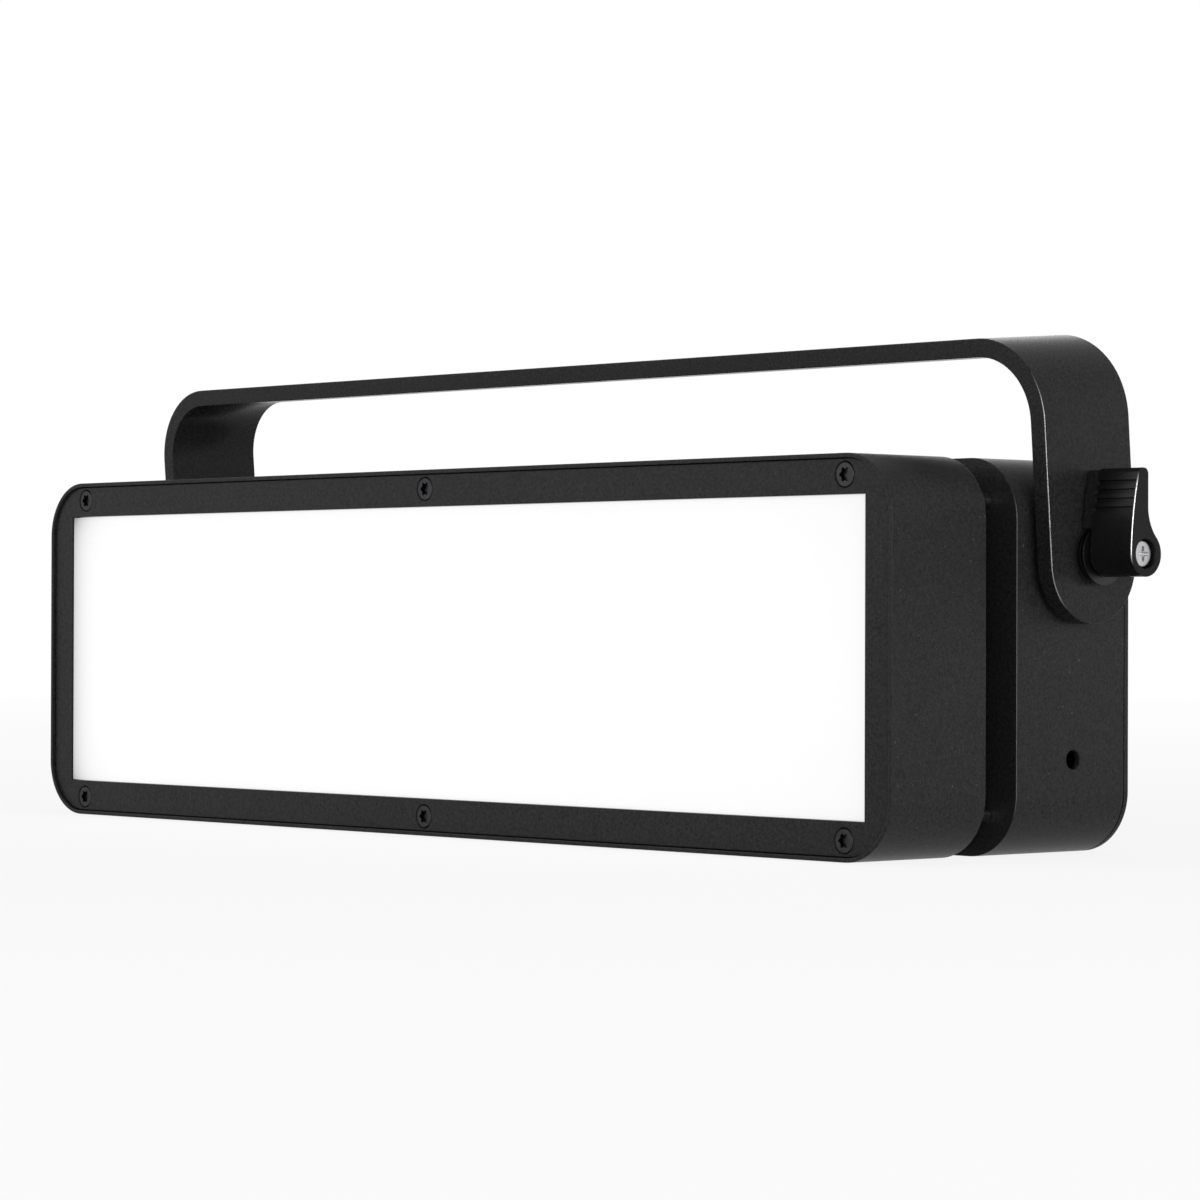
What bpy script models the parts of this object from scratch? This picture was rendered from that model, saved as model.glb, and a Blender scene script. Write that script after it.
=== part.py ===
"""An LED soft light panel: a lamp head of two boxes, held in a yoke by two clamp levers.

Metres, +Z up. The lamp faces -Y. The origin lies on the flat underside of the rear
box, straight below the yoke's pivot axis, which runs along X.
"""
import math

import bmesh
import bpy
from mathutils import Vector

# Clearances: between pieces that touch, round a shaft, and the mesh merge distance
SEAT = 0.0003
RUNNING = 0.0003
THREAD = 0.0001
MERGE = 0.000001

# Facets
CORNER_STEPS = 6
BEND_STEPS = 7
ROUND_STEPS = 20
HOLE_STEPS = 14
SMALL_STEPS = 12
TINY_STEPS = 8
FLANK_STEPS = 6
SMOOTH_DEGREES = 30.0

# Both boxes
HEAD_WIDTH = 0.450
HEAD_HEIGHT = 0.126
CORNER_RADIUS = 0.020
FRONT_DEPTH = 0.042
BOX_GAP = 0.014
REAR_DEPTH = 0.053
WALL = 0.002
RIM = 0.0014

# Bezel, and the countersunk screws of bezel and rear cover
BEZEL_RECESS = 0.0012
BEZEL_THICKNESS = 0.0022
SCREW_INSET_X = 0.0215
SCREW_MARGIN = 0.0006
SCREW_HEAD_RADIUS = 0.0038
SCREW_SHANK_RADIUS = 0.0020
BEZEL_SCREW_LENGTH = 0.012
COVER_SCREW_LENGTH = 0.010
SCREW_SUNK = 0.0001
SCREW_EDGE = 0.0002
SCREW_RING = 0.0005
SOCKET_RADIUS = 0.0021
SOCKET_WAIST = 0.0015
SOCKET_DEPTH = 0.0013
SOCKET_LOBES = 6
BOSS_WALL = 0.0017
BOSS_SPARE = 0.004
HOLE_SPARE = 0.002

# Light engine
ENGINE_CLEAR = 0.0005
DIFFUSER_LAP = 0.0016
DIFFUSER_THICKNESS = 0.003
DIFFUSER_SUNK = 0.0005
REFLECTOR_DEPTH = 0.020
REFLECTOR_WALL = 0.0015
BOARD_THICKNESS = 0.0016
LED_COLUMNS = 14
LED_ROWS = 3
LED_SIZE = 0.005
LED_HEIGHT = 0.0008
SINK_BASE = 0.003
SINK_INSET = 0.008
FIN_COUNT = 25
FIN_THICKNESS = 0.0015
FIN_CLEAR = 0.004

# Standoffs, and the conduit that carries the LED lead through the gap
STANDOFF_INSET_X = 0.0128
STANDOFF_INSET_Z = 0.0136
STANDOFF_RADIUS = 0.0024
STUD_RADIUS = 0.0015
STUD_REACH = 0.005
LEAD_RADIUS = 0.0030
LEAD_CLEAR = 0.0006
CONDUIT_WALL = 0.0026
CONDUIT_SHOULDER = 0.0018
CONDUIT_REACH = 0.003

# Yoke: a flat bar, its height and lean measured at the pivot
PIVOT_INSET = 0.0305
BAR_WIDTH = 0.040
BAR_THICKNESS = 0.006
BAR_EDGE = 0.0004
YOKE_RISE = 0.070
YOKE_DROP = 0.002
BEND_RADIUS = 0.027
SIDE_GAP = 0.0025
YOKE_LEAN = 4.4
HANGING_HOLE_RADIUS = 0.00625
SIDE_WASHER_RADIUS = 0.011

# Bushes behind the pivot holes and the spare holes below them
PIVOT_RADIUS = 0.003
BUSH_FLANGE_RADIUS = 0.009
BUSH_FLANGE = 0.002
BUSH_WALL = 0.0032
BUSH_LENGTH = 0.014

# Clamp stud and its washer
STUD_ENGAGEMENT = 0.0122
WASHER_RADIUS = 0.0082
WASHER_THICKNESS = 0.0012
COLLAR_RADIUS = 0.006
COLLAR_LENGTH = 0.0016
FLANGE_RADIUS = 0.0098
FLANGE_THICKNESS = 0.0009
POST_RADIUS = 0.0046
POST_LENGTH = 0.0045

# Clamp lever
LEVER_WIDTH = 0.0170
LEVER_SKIRT_OVERLAP = 0.0007
LEVER_SKIRT_DRAFT = 0.0008
LEVER_POCKET_CLEAR = 0.0006
LEVER_HUB_RADIUS = 0.0072
LEVER_HEIGHT = 0.0269
LEVER_TIP_FRONT = 0.0038
LEVER_TIP_REAR = 0.0011
LEVER_TIP_ROUND = 0.0008
LEVER_BULGE = 0.0007
LEVER_FILLET = 0.014
LEVER_WEB = 0.0015
GROOVE_COUNT = 4
GROOVE_PITCH = 0.0028
GROOVE_FIRST = 0.0140
GROOVE_WIDTH = 0.0012
GROOVE_DEPTH = 0.0007
GROOVE_STOP = 0.0007

# Screw and spring in the lever's hub
HUB_SCREW_SUNK = 0.0014
HUB_SCREW_HEAD = 0.0020
HUB_SCREW_HEAD_RADIUS = 0.00415
HUB_SCREW_HEAD_CLEAR = 0.0005
HUB_SCREW_SHANK = 0.0025
HUB_SCREW_REACH = 0.0035
CROSS_LENGTH = 0.0048
CROSS_WIDTH = 0.0012
CROSS_DEPTH = 0.0012
SPRING_WIRE = 0.00035
SPRING_CLEAR = 0.0007
SPRING_TURNS = 3
SPRING_POINTS = 10

# Rear cover, and the fittings' distances from the head's top and sides
COVER_THICKNESS = 0.002
FITTING_DROP = 0.050
PLATE_THICKNESS = 0.002
FLANGE_CORNER = 0.0035
RECESS_DEPTH = 0.0145

# Mains inlet
INLET_FROM_SIDE = 0.075
INLET_FLANGE = (0.0308, 0.0240)
INLET_BODY = (0.0270, 0.0196)
INLET_RECESS = (0.0240, 0.0156)
INLET_SLOPE = 0.0045
INLET_DEPTH = 0.018
BLADE = (0.0020, 0.0040)
BLADE_LENGTH = 0.011
BLADE_SPREAD = 0.0070
BLADE_RAISE = 0.0018

# Power switch
SWITCH_FROM_INLET = 0.038
SWITCH_FLANGE = (0.0150, 0.0212)
SWITCH_BODY = (0.0128, 0.0190)
SWITCH_RECESS = (0.0102, 0.0160)
SWITCH_DEPTH = 0.014
SWITCH_FLOOR = 0.0071
ROCKER_HALF = 0.0071
ROCKER_PROUD = 0.0026
ROCKER_VALLEY = 0.0014
ROCKER_BACK = 0.0030
ROCKER_TILT = 10.0
ROCKER_AXIS_SUNK = 0.0004

# Data connectors
DATA_FROM_SIDE = 0.062
DATA_PITCH = 0.038
DATA_FLANGE = (0.026, 0.031)
DATA_BODY_RADIUS = 0.0105
DATA_BORE = 0.0082
DATA_DEPTH = 0.018
INSERT_RADIUS = 0.0058
PIN_COUNT = 5
PIN_RADIUS = 0.0008
PIN_CIRCLE = 0.0049
PIN_LENGTH = 0.009
PIN_HOLE_RADIUS = 0.0012
PIN_SPREAD = 50.0

# Display, menu buttons and dimmer knob
DISPLAY_X = 0.005
DISPLAY_DROP = 0.040
DISPLAY_SIZE = (0.062, 0.026)
DISPLAY_LAP = 0.002
BUTTON_DROP = 0.0082
BUTTON_PITCH = 0.015
BUTTON_COUNT = 4
BUTTON_SIZE = (0.0086, 0.0056)
BUTTON_CORNER = 0.0012
BUTTON_PROUD = 0.0014
BUTTON_LIP = 0.0010
BUTTON_TRAVEL = 0.0010
KNOB_FROM_DISPLAY = 0.034
KNOB_RADIUS = 0.0105
KNOB_HEIGHT = 0.0130
KNOB_SKIRT = 0.0012
KNOB_GAP = 0.0006
KNOB_EDGE = 0.0006
KNOB_SHAFT = 0.0030
KNOB_SHAFT_REACH = 0.001
ENCODER_SIZE = 0.0105

# Power supply, driver board and control board inside the rear box
DRIVER_CLEAR = 0.0127
DRIVER_LENGTH = 0.102
DRIVER_MARGIN = 0.022
# Driver's components: distance of each from the board's middle, its size, its height
DRIVER_PARTS = (
    (0.000, -0.027, 0.050, 0.014, 0.012),
    (-0.024, 0.031, 0.018, 0.012, 0.009),
    (0.016, 0.031, 0.022, 0.012, 0.007),
)
CONDUIT_FROM_DRIVER = 0.014
LEAD_LANDING = 0.006
SUPPLY_FROM_CONDUIT = 0.015
SUPPLY_LENGTH = 0.150
SUPPLY_MARGIN = 0.020
SUPPLY_DEPTH = 0.027
SUPPLY_STEP_LENGTH = 0.018
SUPPLY_STEP_DEPTH = 0.009
TERMINALS = (0.010, 0.050, 0.009)
SPACER_HEIGHT = 0.004
SPACER_RADIUS = 0.003
SPACER_INSET = 0.006
CONTROL_SETBACK = 0.006
CONTROL_MARGIN = 0.010

# Places worked out from the sizes above; Y is measured from the pivot axis
PIVOT_Z = HEAD_HEIGHT - PIVOT_INSET
SPARE_HOLE_Z = PIVOT_INSET
SPARE_HOLE_RADIUS = PIVOT_RADIUS + THREAD
CENTRE_Z = HEAD_HEIGHT / 2
SIDE_X = HEAD_WIDTH / 2
BACK_Y = REAR_DEPTH / 2
COVER_Y = BACK_Y - COVER_THICKNESS
REAR_FRONT_Y = -REAR_DEPTH / 2
FRONT_BACK_Y = REAR_FRONT_Y - BOX_GAP
FRONT_Y = FRONT_BACK_Y - FRONT_DEPTH
BEZEL_Y = FRONT_Y + BEZEL_RECESS
DIFFUSER_Y = BEZEL_Y + BEZEL_THICKNESS + SEAT
REFLECTOR_Y = DIFFUSER_Y + DIFFUSER_THICKNESS + SEAT
BOARD_Y = REFLECTOR_Y + REFLECTOR_DEPTH + SEAT
SINK_Y = BOARD_Y + BOARD_THICKNESS + SEAT
FIN_END_Y = FRONT_BACK_Y - WALL - SEAT

# Screws, and the window that leaves room for their bosses beside the diffuser
SCREW_INSET_Z = RIM + SEAT + SCREW_MARGIN + SCREW_RING + SCREW_HEAD_RADIUS
SCREW_CONE = SCREW_HEAD_RADIUS - SCREW_SHANK_RADIUS
BOSS_RADIUS = SCREW_SHANK_RADIUS + RUNNING + BOSS_WALL
BEZEL_BORDER = SCREW_INSET_Z + BOSS_RADIUS + ENGINE_CLEAR + DIFFUSER_LAP
WINDOW_WIDTH = HEAD_WIDTH - 2 * BEZEL_BORDER
WINDOW_HEIGHT = HEAD_HEIGHT - 2 * BEZEL_BORDER
ENGINE_WIDTH = WINDOW_WIDTH + 2 * DIFFUSER_LAP
ENGINE_HEIGHT = WINDOW_HEIGHT + 2 * DIFFUSER_LAP
SINK_WIDTH = ENGINE_WIDTH - 2 * SINK_INSET

# Yoke's bar, straightened out
BEND_MIDDLE = BEND_RADIUS - BAR_THICKNESS / 2
BEND_LENGTH = BEND_MIDDLE * math.pi / 2
BEND_Z = YOKE_RISE - BEND_RADIUS
ARM_LENGTH = BEND_Z + YOKE_DROP + BAR_WIDTH / 2
BEND_X = SIDE_X + SIDE_GAP + BAR_THICKNESS - BEND_RADIUS
BAR_LENGTH = 2 * (ARM_LENGTH + BEND_LENGTH + BEND_X)

# Clamp: distances outward from the yoke's outer face
YOKE_OUTER_X = SIDE_X + SIDE_GAP + BAR_THICKNESS
STUD_END = -BAR_THICKNESS - SIDE_GAP - WALL - SEAT - STUD_ENGAGEMENT
WASHER_END = SEAT + WASHER_THICKNESS
COLLAR_START = WASHER_END + SEAT
FLANGE_START = COLLAR_START + COLLAR_LENGTH
FLANGE_END = FLANGE_START + FLANGE_THICKNESS
POST_END = FLANGE_END + POST_LENGTH
HUB_BORE = HUB_SCREW_SHANK + RUNNING
HUB_SCREW_END = POST_END - HUB_SCREW_REACH
LEVER_SKIRT_END = 2 * SEAT
LEVER_INNER = FLANGE_END + SEAT
LEVER_OUTER = LEVER_INNER + LEVER_WIDTH
WEB_START = POST_END + SEAT
WEB_END = WEB_START + LEVER_WEB
HUB_SCREW_TOP = LEVER_OUTER - HUB_SCREW_SUNK
HUB_SCREW_UNDER = HUB_SCREW_TOP - HUB_SCREW_HEAD
SPRING_RADIUS = HUB_SCREW_SHANK + SPRING_CLEAR + SPRING_WIRE

# Boards and lead
DRIVER_TOP_Y = REAR_FRONT_Y + WALL + SEAT + SPACER_HEIGHT + BOARD_THICKNESS
DRIVER_HIGH = (SIDE_X - WALL - SEAT - BUSH_LENGTH - DRIVER_CLEAR, HEAD_HEIGHT - DRIVER_MARGIN)
DRIVER_LOW = (DRIVER_HIGH[0] - DRIVER_LENGTH, DRIVER_MARGIN)
CONDUIT_X = DRIVER_LOW[0] - CONDUIT_FROM_DRIVER
CONDUIT_Z = CENTRE_Z
CONDUIT_BORE = LEAD_RADIUS + LEAD_CLEAR
CONDUIT_NECK = CONDUIT_BORE + CONDUIT_WALL
CONDUIT_RADIUS = CONDUIT_NECK + CONDUIT_SHOULDER
SUPPLY_HIGH = (CONDUIT_X - SUPPLY_FROM_CONDUIT, HEAD_HEIGHT - SUPPLY_MARGIN)
SUPPLY_LOW = (SUPPLY_HIGH[0] - SUPPLY_LENGTH, SUPPLY_MARGIN)

# Rear fittings
FITTING_Z = HEAD_HEIGHT - FITTING_DROP
INLET_X = INLET_FROM_SIDE - SIDE_X
SWITCH_X = INLET_X + SWITCH_FROM_INLET
DATA_OUT_X = SIDE_X - DATA_FROM_SIDE
DATA_IN_X = DATA_OUT_X - DATA_PITCH
RECESS_FLOOR = PLATE_THICKNESS - RECESS_DEPTH
DISPLAY_Z = HEAD_HEIGHT - DISPLAY_DROP
DISPLAY_LOW = (DISPLAY_X - DISPLAY_SIZE[0] / 2, DISPLAY_Z - DISPLAY_SIZE[1] / 2)
DISPLAY_HIGH = (DISPLAY_LOW[0] + DISPLAY_SIZE[0], DISPLAY_LOW[1] + DISPLAY_SIZE[1])
BUTTON_Z = DISPLAY_LOW[1] - BUTTON_DROP - BUTTON_SIZE[1] / 2
KNOB_X = DISPLAY_HIGH[0] + KNOB_FROM_DISPLAY
CONTROL_LOW = (DISPLAY_LOW[0] - DISPLAY_LAP - CONTROL_MARGIN,
               BUTTON_Z - BUTTON_SIZE[1] / 2 - CONTROL_MARGIN)
CONTROL_HIGH = (KNOB_X + ENCODER_SIZE / 2 + CONTROL_MARGIN,
                DISPLAY_HIGH[1] + DISPLAY_LAP + CONTROL_MARGIN)


def finish(name, colour, roughness, metallic):
    """One Principled material."""
    made = bpy.data.materials.new(name)
    made.use_nodes = True
    shader = made.node_tree.nodes["Principled BSDF"]
    shader.inputs["Base Color"].default_value = (*colour, 1.0)
    shader.inputs["Roughness"].default_value = roughness
    shader.inputs["Metallic"].default_value = metallic
    return made


def arc(centre, radius, start, end, steps):
    """Points on an arc between two angles in degrees."""
    angles = [math.radians(start + (end - start) * step / steps) for step in range(steps + 1)]
    return [(centre[0] + radius * math.cos(a), centre[1] + radius * math.sin(a)) for a in angles]


def circle(radius, steps=ROUND_STEPS, centre=(0.0, 0.0)):
    return arc(centre, radius, 0, 360, steps)[:-1]


def rectangle(width, height, centre=(0.0, 0.0)):
    """Corner points of a sharp rectangle."""
    u, v = centre
    across, up = width / 2, height / 2
    return [(u - across, v - up), (u + across, v - up), (u + across, v + up), (u - across, v + up)]


def rounded_rectangle(width, height, radius, steps=CORNER_STEPS):
    across, up = width / 2 - radius, height / 2 - radius
    return (arc((across, up), radius, 0, 90, steps) + arc((-across, up), radius, 90, 180, steps)
            + arc((-across, -up), radius, 180, 270, steps) + arc((across, -up), radius, 270, 360, steps))


def head_outline(inset):
    """The boxes' rounded outline, drawn in by a wall or a rim."""
    return rounded_rectangle(HEAD_WIDTH - 2 * inset, HEAD_HEIGHT - 2 * inset, CORNER_RADIUS - inset)


def place(u, v, along, axis):
    """A point of a flat outline, set at a distance along the axis it is drawn square to."""
    return Vector({"X": (along, u, v), "Y": (u, along, v), "Z": (u, v, along)}[axis])


def add_prism(bm, outline, axis, start, end, shift=(0.0, 0.0, 0.0)):
    """A straight prism on an outline."""
    offset = Vector(shift)
    base = bm.faces.new([bm.verts.new(place(u, v, start, axis) + offset) for u, v in outline])
    grown = bmesh.ops.extrude_face_region(bm, geom=[base])["geom"]
    tops = [item for item in grown if isinstance(item, bmesh.types.BMVert)]
    bmesh.ops.translate(bm, verts=tops, vec=place(0, 0, end - start, axis))
    return tops


def add_turned(bm, profile, axis, centre=(0.0, 0.0, 0.0), steps=ROUND_STEPS, ring=False):
    """A profile of (radius, distance) points, spun round an axis through the centre."""
    middle = Vector(centre)
    chain = [bm.verts.new(place(radius, 0, along, axis) + middle) for radius, along in profile]
    pairs = list(zip(chain, chain[1:]))
    if ring:
        pairs.append((chain[-1], chain[0]))
    edges = [bm.edges.new(pair) for pair in pairs]
    bmesh.ops.spin(bm, geom=chain + edges, cent=middle, axis=place(0, 0, 1, axis),
                   angle=math.tau, steps=steps, use_merge=True, use_duplicate=False)


def make(name, bm, look, location=(0.0, 0.0, 0.0), parent=None):
    """Close a mesh, point its faces outwards and make it an object."""
    bmesh.ops.remove_doubles(bm, verts=bm.verts, dist=MERGE)
    bmesh.ops.recalc_face_normals(bm, faces=bm.faces)
    mesh = bpy.data.meshes.new(name)
    bm.to_mesh(mesh)
    bm.free()
    mesh.materials.append(look)
    mesh.shade_smooth()
    mesh.set_sharp_from_angle(angle=math.radians(SMOOTH_DEGREES))
    made = bpy.data.objects.new(name, mesh)
    bpy.context.scene.collection.objects.link(made)
    made.location = location
    made.parent = parent
    return made


def prism(name, look, outline, axis, start, end, location=(0.0, 0.0, 0.0), parent=None):
    bm = bmesh.new()
    add_prism(bm, outline, axis, start, end)
    return make(name, bm, look, location, parent)


def turned(name, look, profile, axis, location=(0.0, 0.0, 0.0), parent=None,
           steps=ROUND_STEPS, ring=False):
    bm = bmesh.new()
    add_turned(bm, profile, axis, steps=steps, ring=ring)
    return make(name, bm, look, location, parent)


def apply_tool(target, tool, operation):
    """Cut or join a hidden tool body to a piece."""
    modifier = target.modifiers.new(tool.name, "BOOLEAN")
    modifier.operation = operation
    modifier.solver = "EXACT"
    modifier.object = tool
    tool.hide_render = True
    tool.display_type = "WIRE"


def cut(target, tool):
    apply_tool(target, tool, "DIFFERENCE")


def join(target, tool):
    apply_tool(target, tool, "UNION")


def hole_set(name, look, centres, radius, axis, start, end, steps=HOLE_STEPS):
    """Separate round cutters at several centres, as one tool."""
    bm = bmesh.new()
    for u, v in centres:
        add_prism(bm, circle(radius, steps, (u, v)), axis, start, end)
    return make(name, bm, look)


def screw_places():
    """Centres of the three upper and three lower screws of a box, in X and Z."""
    reach = SIDE_X - SCREW_INSET_X
    rows = (HEAD_HEIGHT - SCREW_INSET_Z, SCREW_INSET_Z)
    return [(x, z) for z in rows for x in (-reach, 0.0, reach)]


def standoff_places():
    reach = SIDE_X - STANDOFF_INSET_X
    rows = (HEAD_HEIGHT - STANDOFF_INSET_Z, STANDOFF_INSET_Z)
    return [(x, z) for z in rows for x in (-reach, reach)]


def boss_tool(name, look, start, end):
    """Half-round bosses that grow from the top and bottom walls round each screw."""
    bm = bmesh.new()
    # The bosses end half way into the wall
    wall_side = SCREW_INSET_Z - WALL / 2
    for x, z in screw_places():
        side = 1 if z > CENTRE_Z else -1
        curve = arc((0, 0), BOSS_RADIUS, 180, 360, SMALL_STEPS // 2)
        outline = curve + [(BOSS_RADIUS, wall_side), (-BOSS_RADIUS, wall_side)]
        add_prism(bm, [(x + u, z + v * side) for u, v in outline], "Y", start, end)
    return make(name, bm, look)


def countersink_tool(name, look, surface, inward, thickness):
    """Holes for the six countersunk screws, from just outside a plate to well past it."""
    mouth = SCREW_HEAD_RADIUS + SCREW_RING
    throat = SCREW_SHANK_RADIUS + SCREW_RING
    shoulder = SCREW_SUNK + SCREW_EDGE
    end = thickness + SCREW_CONE
    steps = [(0, -WALL), (mouth, -WALL), (mouth, shoulder), (throat, shoulder + SCREW_CONE),
             (throat, end), (0, end)]
    profile = [(radius, surface + inward * along) for radius, along in steps]
    bm = bmesh.new()
    for x, z in screw_places():
        add_turned(bm, profile, "Y", (x, 0, z), SMALL_STEPS)
    return make(name, bm, look)


def lobed_outline():
    """Outline of a screw's drive recess, in and out between its lobes and their waists."""
    outline = []
    for index in range(SOCKET_LOBES * 2):
        reach = SOCKET_WAIST if index % 2 else SOCKET_RADIUS
        angle = math.pi * index / SOCKET_LOBES
        outline.append((reach * math.cos(angle), reach * math.sin(angle)))
    return outline


def countersunk_screws(prefix, look, surface, inward, length):
    """The six screws of one box, each its own piece, with a six-lobed recess."""
    top = SCREW_SUNK
    cone_start = top + SCREW_EDGE
    steps = [(0, top), (SCREW_HEAD_RADIUS, top), (SCREW_HEAD_RADIUS, cone_start),
             (SCREW_SHANK_RADIUS, cone_start + SCREW_CONE), (SCREW_SHANK_RADIUS, length), (0, length)]
    profile = [(radius, inward * along) for radius, along in steps]
    for number, (x, z) in enumerate(screw_places(), start=1):
        screw = turned(f"{prefix}_{number}", look, profile, "Y", (x, surface, z), steps=SMALL_STEPS)
        ends = sorted((inward * (top - SOCKET_DEPTH), inward * (top + SOCKET_DEPTH)))
        socket = prism(f"{prefix}_{number}_socket", look, lobed_outline(), "Y", *ends,
                       (x, surface, z))
        cut(screw, socket)


def front_housing(look):
    body = prism("front_housing", look, head_outline(0), "Y", FRONT_Y, FRONT_BACK_Y, (0, 0, CENTRE_Z))
    ledge = BEZEL_Y + BEZEL_THICKNESS + SEAT
    hole_end = BEZEL_Y + BEZEL_SCREW_LENGTH + HOLE_SPARE
    cut(body, prism("bezel_pocket", look, head_outline(RIM), "Y", FRONT_Y - WALL, ledge,
                    (0, 0, CENTRE_Z)))
    cut(body, prism("front_cavity", look, head_outline(WALL), "Y", ledge - WALL,
                    FRONT_BACK_Y - WALL, (0, 0, CENTRE_Z)))
    join(body, boss_tool("front_bosses", look, ledge + SEAT, hole_end + BOSS_SPARE - HOLE_SPARE))
    cut(body, hole_set("front_boss_holes", look, screw_places(), SCREW_SHANK_RADIUS + RUNNING, "Y",
                       ledge - WALL, hole_end, SMALL_STEPS))
    back_wall_holes(body, look, "front", FRONT_BACK_Y - WALL)


def back_wall_holes(body, look, prefix, wall_start):
    """Holes for the standoffs' studs and the conduit's neck in a wall that faces the gap."""
    ends = (wall_start - WALL, wall_start + 2 * WALL)
    cut(body, hole_set(f"{prefix}_stud_holes", look, standoff_places(), STUD_RADIUS + RUNNING, "Y",
                       *ends, SMALL_STEPS))
    cut(body, hole_set(f"{prefix}_conduit_hole", look, [(CONDUIT_X, CONDUIT_Z)],
                       CONDUIT_NECK + RUNNING, "Y", *ends))


def front_bezel(look):
    plate = prism("front_bezel", look, head_outline(RIM + SEAT), "Y", BEZEL_Y,
                  BEZEL_Y + BEZEL_THICKNESS, (0, 0, CENTRE_Z))
    cut(plate, prism("window", look, rectangle(WINDOW_WIDTH, WINDOW_HEIGHT), "Y", BEZEL_Y - WALL,
                     BEZEL_Y + BEZEL_THICKNESS + WALL, (0, 0, CENTRE_Z)))
    cut(plate, countersink_tool("bezel_countersinks", look, BEZEL_Y, 1, BEZEL_THICKNESS))


def light_engine(white, board_look, sink_look):
    """Diffuser stepped into the window, reflector frame, LED board and heat sink behind it."""
    middle = (0, 0, CENTRE_Z)
    panel = rectangle(ENGINE_WIDTH, ENGINE_HEIGHT)
    diffuser = prism("diffuser", white, panel, "Y", DIFFUSER_Y, DIFFUSER_Y + DIFFUSER_THICKNESS, middle)
    join(diffuser, prism("diffuser_face", white,
                         rectangle(WINDOW_WIDTH - 2 * SEAT, WINDOW_HEIGHT - 2 * SEAT),
                         "Y", BEZEL_Y + DIFFUSER_SUNK, DIFFUSER_Y + DIFFUSER_THICKNESS / 2, middle))
    frame = prism("reflector_frame", white, panel, "Y", REFLECTOR_Y, REFLECTOR_Y + REFLECTOR_DEPTH,
                  middle)
    opening = rectangle(ENGINE_WIDTH - 2 * REFLECTOR_WALL, ENGINE_HEIGHT - 2 * REFLECTOR_WALL)
    cut(frame, prism("reflector_opening", white, opening, "Y", REFLECTOR_Y - WALL,
                     REFLECTOR_Y + REFLECTOR_DEPTH + WALL, middle))
    board = prism("led_board", board_look, panel, "Y", BOARD_Y, BOARD_Y + BOARD_THICKNESS, middle)
    join(board, led_tool(board_look))
    heat_sink(sink_look)


def led_tool(look):
    """The LED packages on the board's front, in even rows and columns."""
    bm = bmesh.new()
    step_x = WINDOW_WIDTH / LED_COLUMNS
    step_z = WINDOW_HEIGHT / LED_ROWS
    for column in range(LED_COLUMNS):
        for row in range(LED_ROWS):
            x = (column - (LED_COLUMNS - 1) / 2) * step_x
            z = CENTRE_Z + (row - (LED_ROWS - 1) / 2) * step_z
            add_prism(bm, rectangle(LED_SIZE, LED_SIZE, (x, z)), "Y", BOARD_Y - LED_HEIGHT,
                      BOARD_Y + BOARD_THICKNESS / 2)
    return make("led_packages", bm, look)


def fin_centres():
    """Fins at an even pitch, left out round the conduit."""
    pitch = (SINK_WIDTH - FIN_THICKNESS) / (FIN_COUNT - 1)
    evenly = [(FIN_THICKNESS - SINK_WIDTH) / 2 + pitch * index for index in range(FIN_COUNT)]
    return [x for x in evenly if abs(x - CONDUIT_X) > CONDUIT_NECK + FIN_CLEAR]


def heat_sink(look):
    """Extruded comb: a base plate with upright fins towards the back wall."""
    base_end = SINK_Y + SINK_BASE
    outline = [(SINK_WIDTH / 2, SINK_Y), (-SINK_WIDTH / 2, SINK_Y)]
    for x in fin_centres():
        low, high = x - FIN_THICKNESS / 2, x + FIN_THICKNESS / 2
        outline += [(low, base_end), (low, FIN_END_Y), (high, FIN_END_Y), (high, base_end)]
    # The outermost fins stand flush with the base's ends, so their outer foot points go
    outline = outline[:2] + outline[3:-1]
    low_z = CENTRE_Z - ENGINE_HEIGHT / 2
    sink = prism("heat_sink", look, outline, "Z", low_z, low_z + ENGINE_HEIGHT)
    cut(sink, hole_set("sink_lead_hole", look, [(CONDUIT_X, CONDUIT_Z)], LEAD_RADIUS + RUNNING, "Y",
                       SINK_Y - WALL, base_end + WALL))


def standoffs(look):
    """Round spacers between the boxes, with a stud through each wall."""
    reach = WALL + STUD_REACH
    profile = [(0, -reach), (STUD_RADIUS, -reach), (STUD_RADIUS, SEAT), (STANDOFF_RADIUS, SEAT),
               (STANDOFF_RADIUS, BOX_GAP - SEAT), (STUD_RADIUS, BOX_GAP - SEAT),
               (STUD_RADIUS, BOX_GAP + reach), (0, BOX_GAP + reach)]
    for number, (x, z) in enumerate(standoff_places(), start=1):
        turned(f"standoff_{number}", look, profile, "Y", (x, FRONT_BACK_Y, z), steps=SMALL_STEPS)


def conduit(look):
    """Flanged tube that carries the LED lead across the gap."""
    reach = WALL + CONDUIT_REACH
    profile = [(CONDUIT_BORE, -CONDUIT_REACH), (CONDUIT_NECK, -CONDUIT_REACH), (CONDUIT_NECK, SEAT),
               (CONDUIT_RADIUS, SEAT), (CONDUIT_RADIUS, BOX_GAP - SEAT),
               (CONDUIT_NECK, BOX_GAP - SEAT), (CONDUIT_NECK, BOX_GAP + reach),
               (CONDUIT_BORE, BOX_GAP + reach)]
    turned("link_conduit", look, profile, "Y", (CONDUIT_X, FRONT_BACK_Y, CONDUIT_Z), ring=True)


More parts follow.
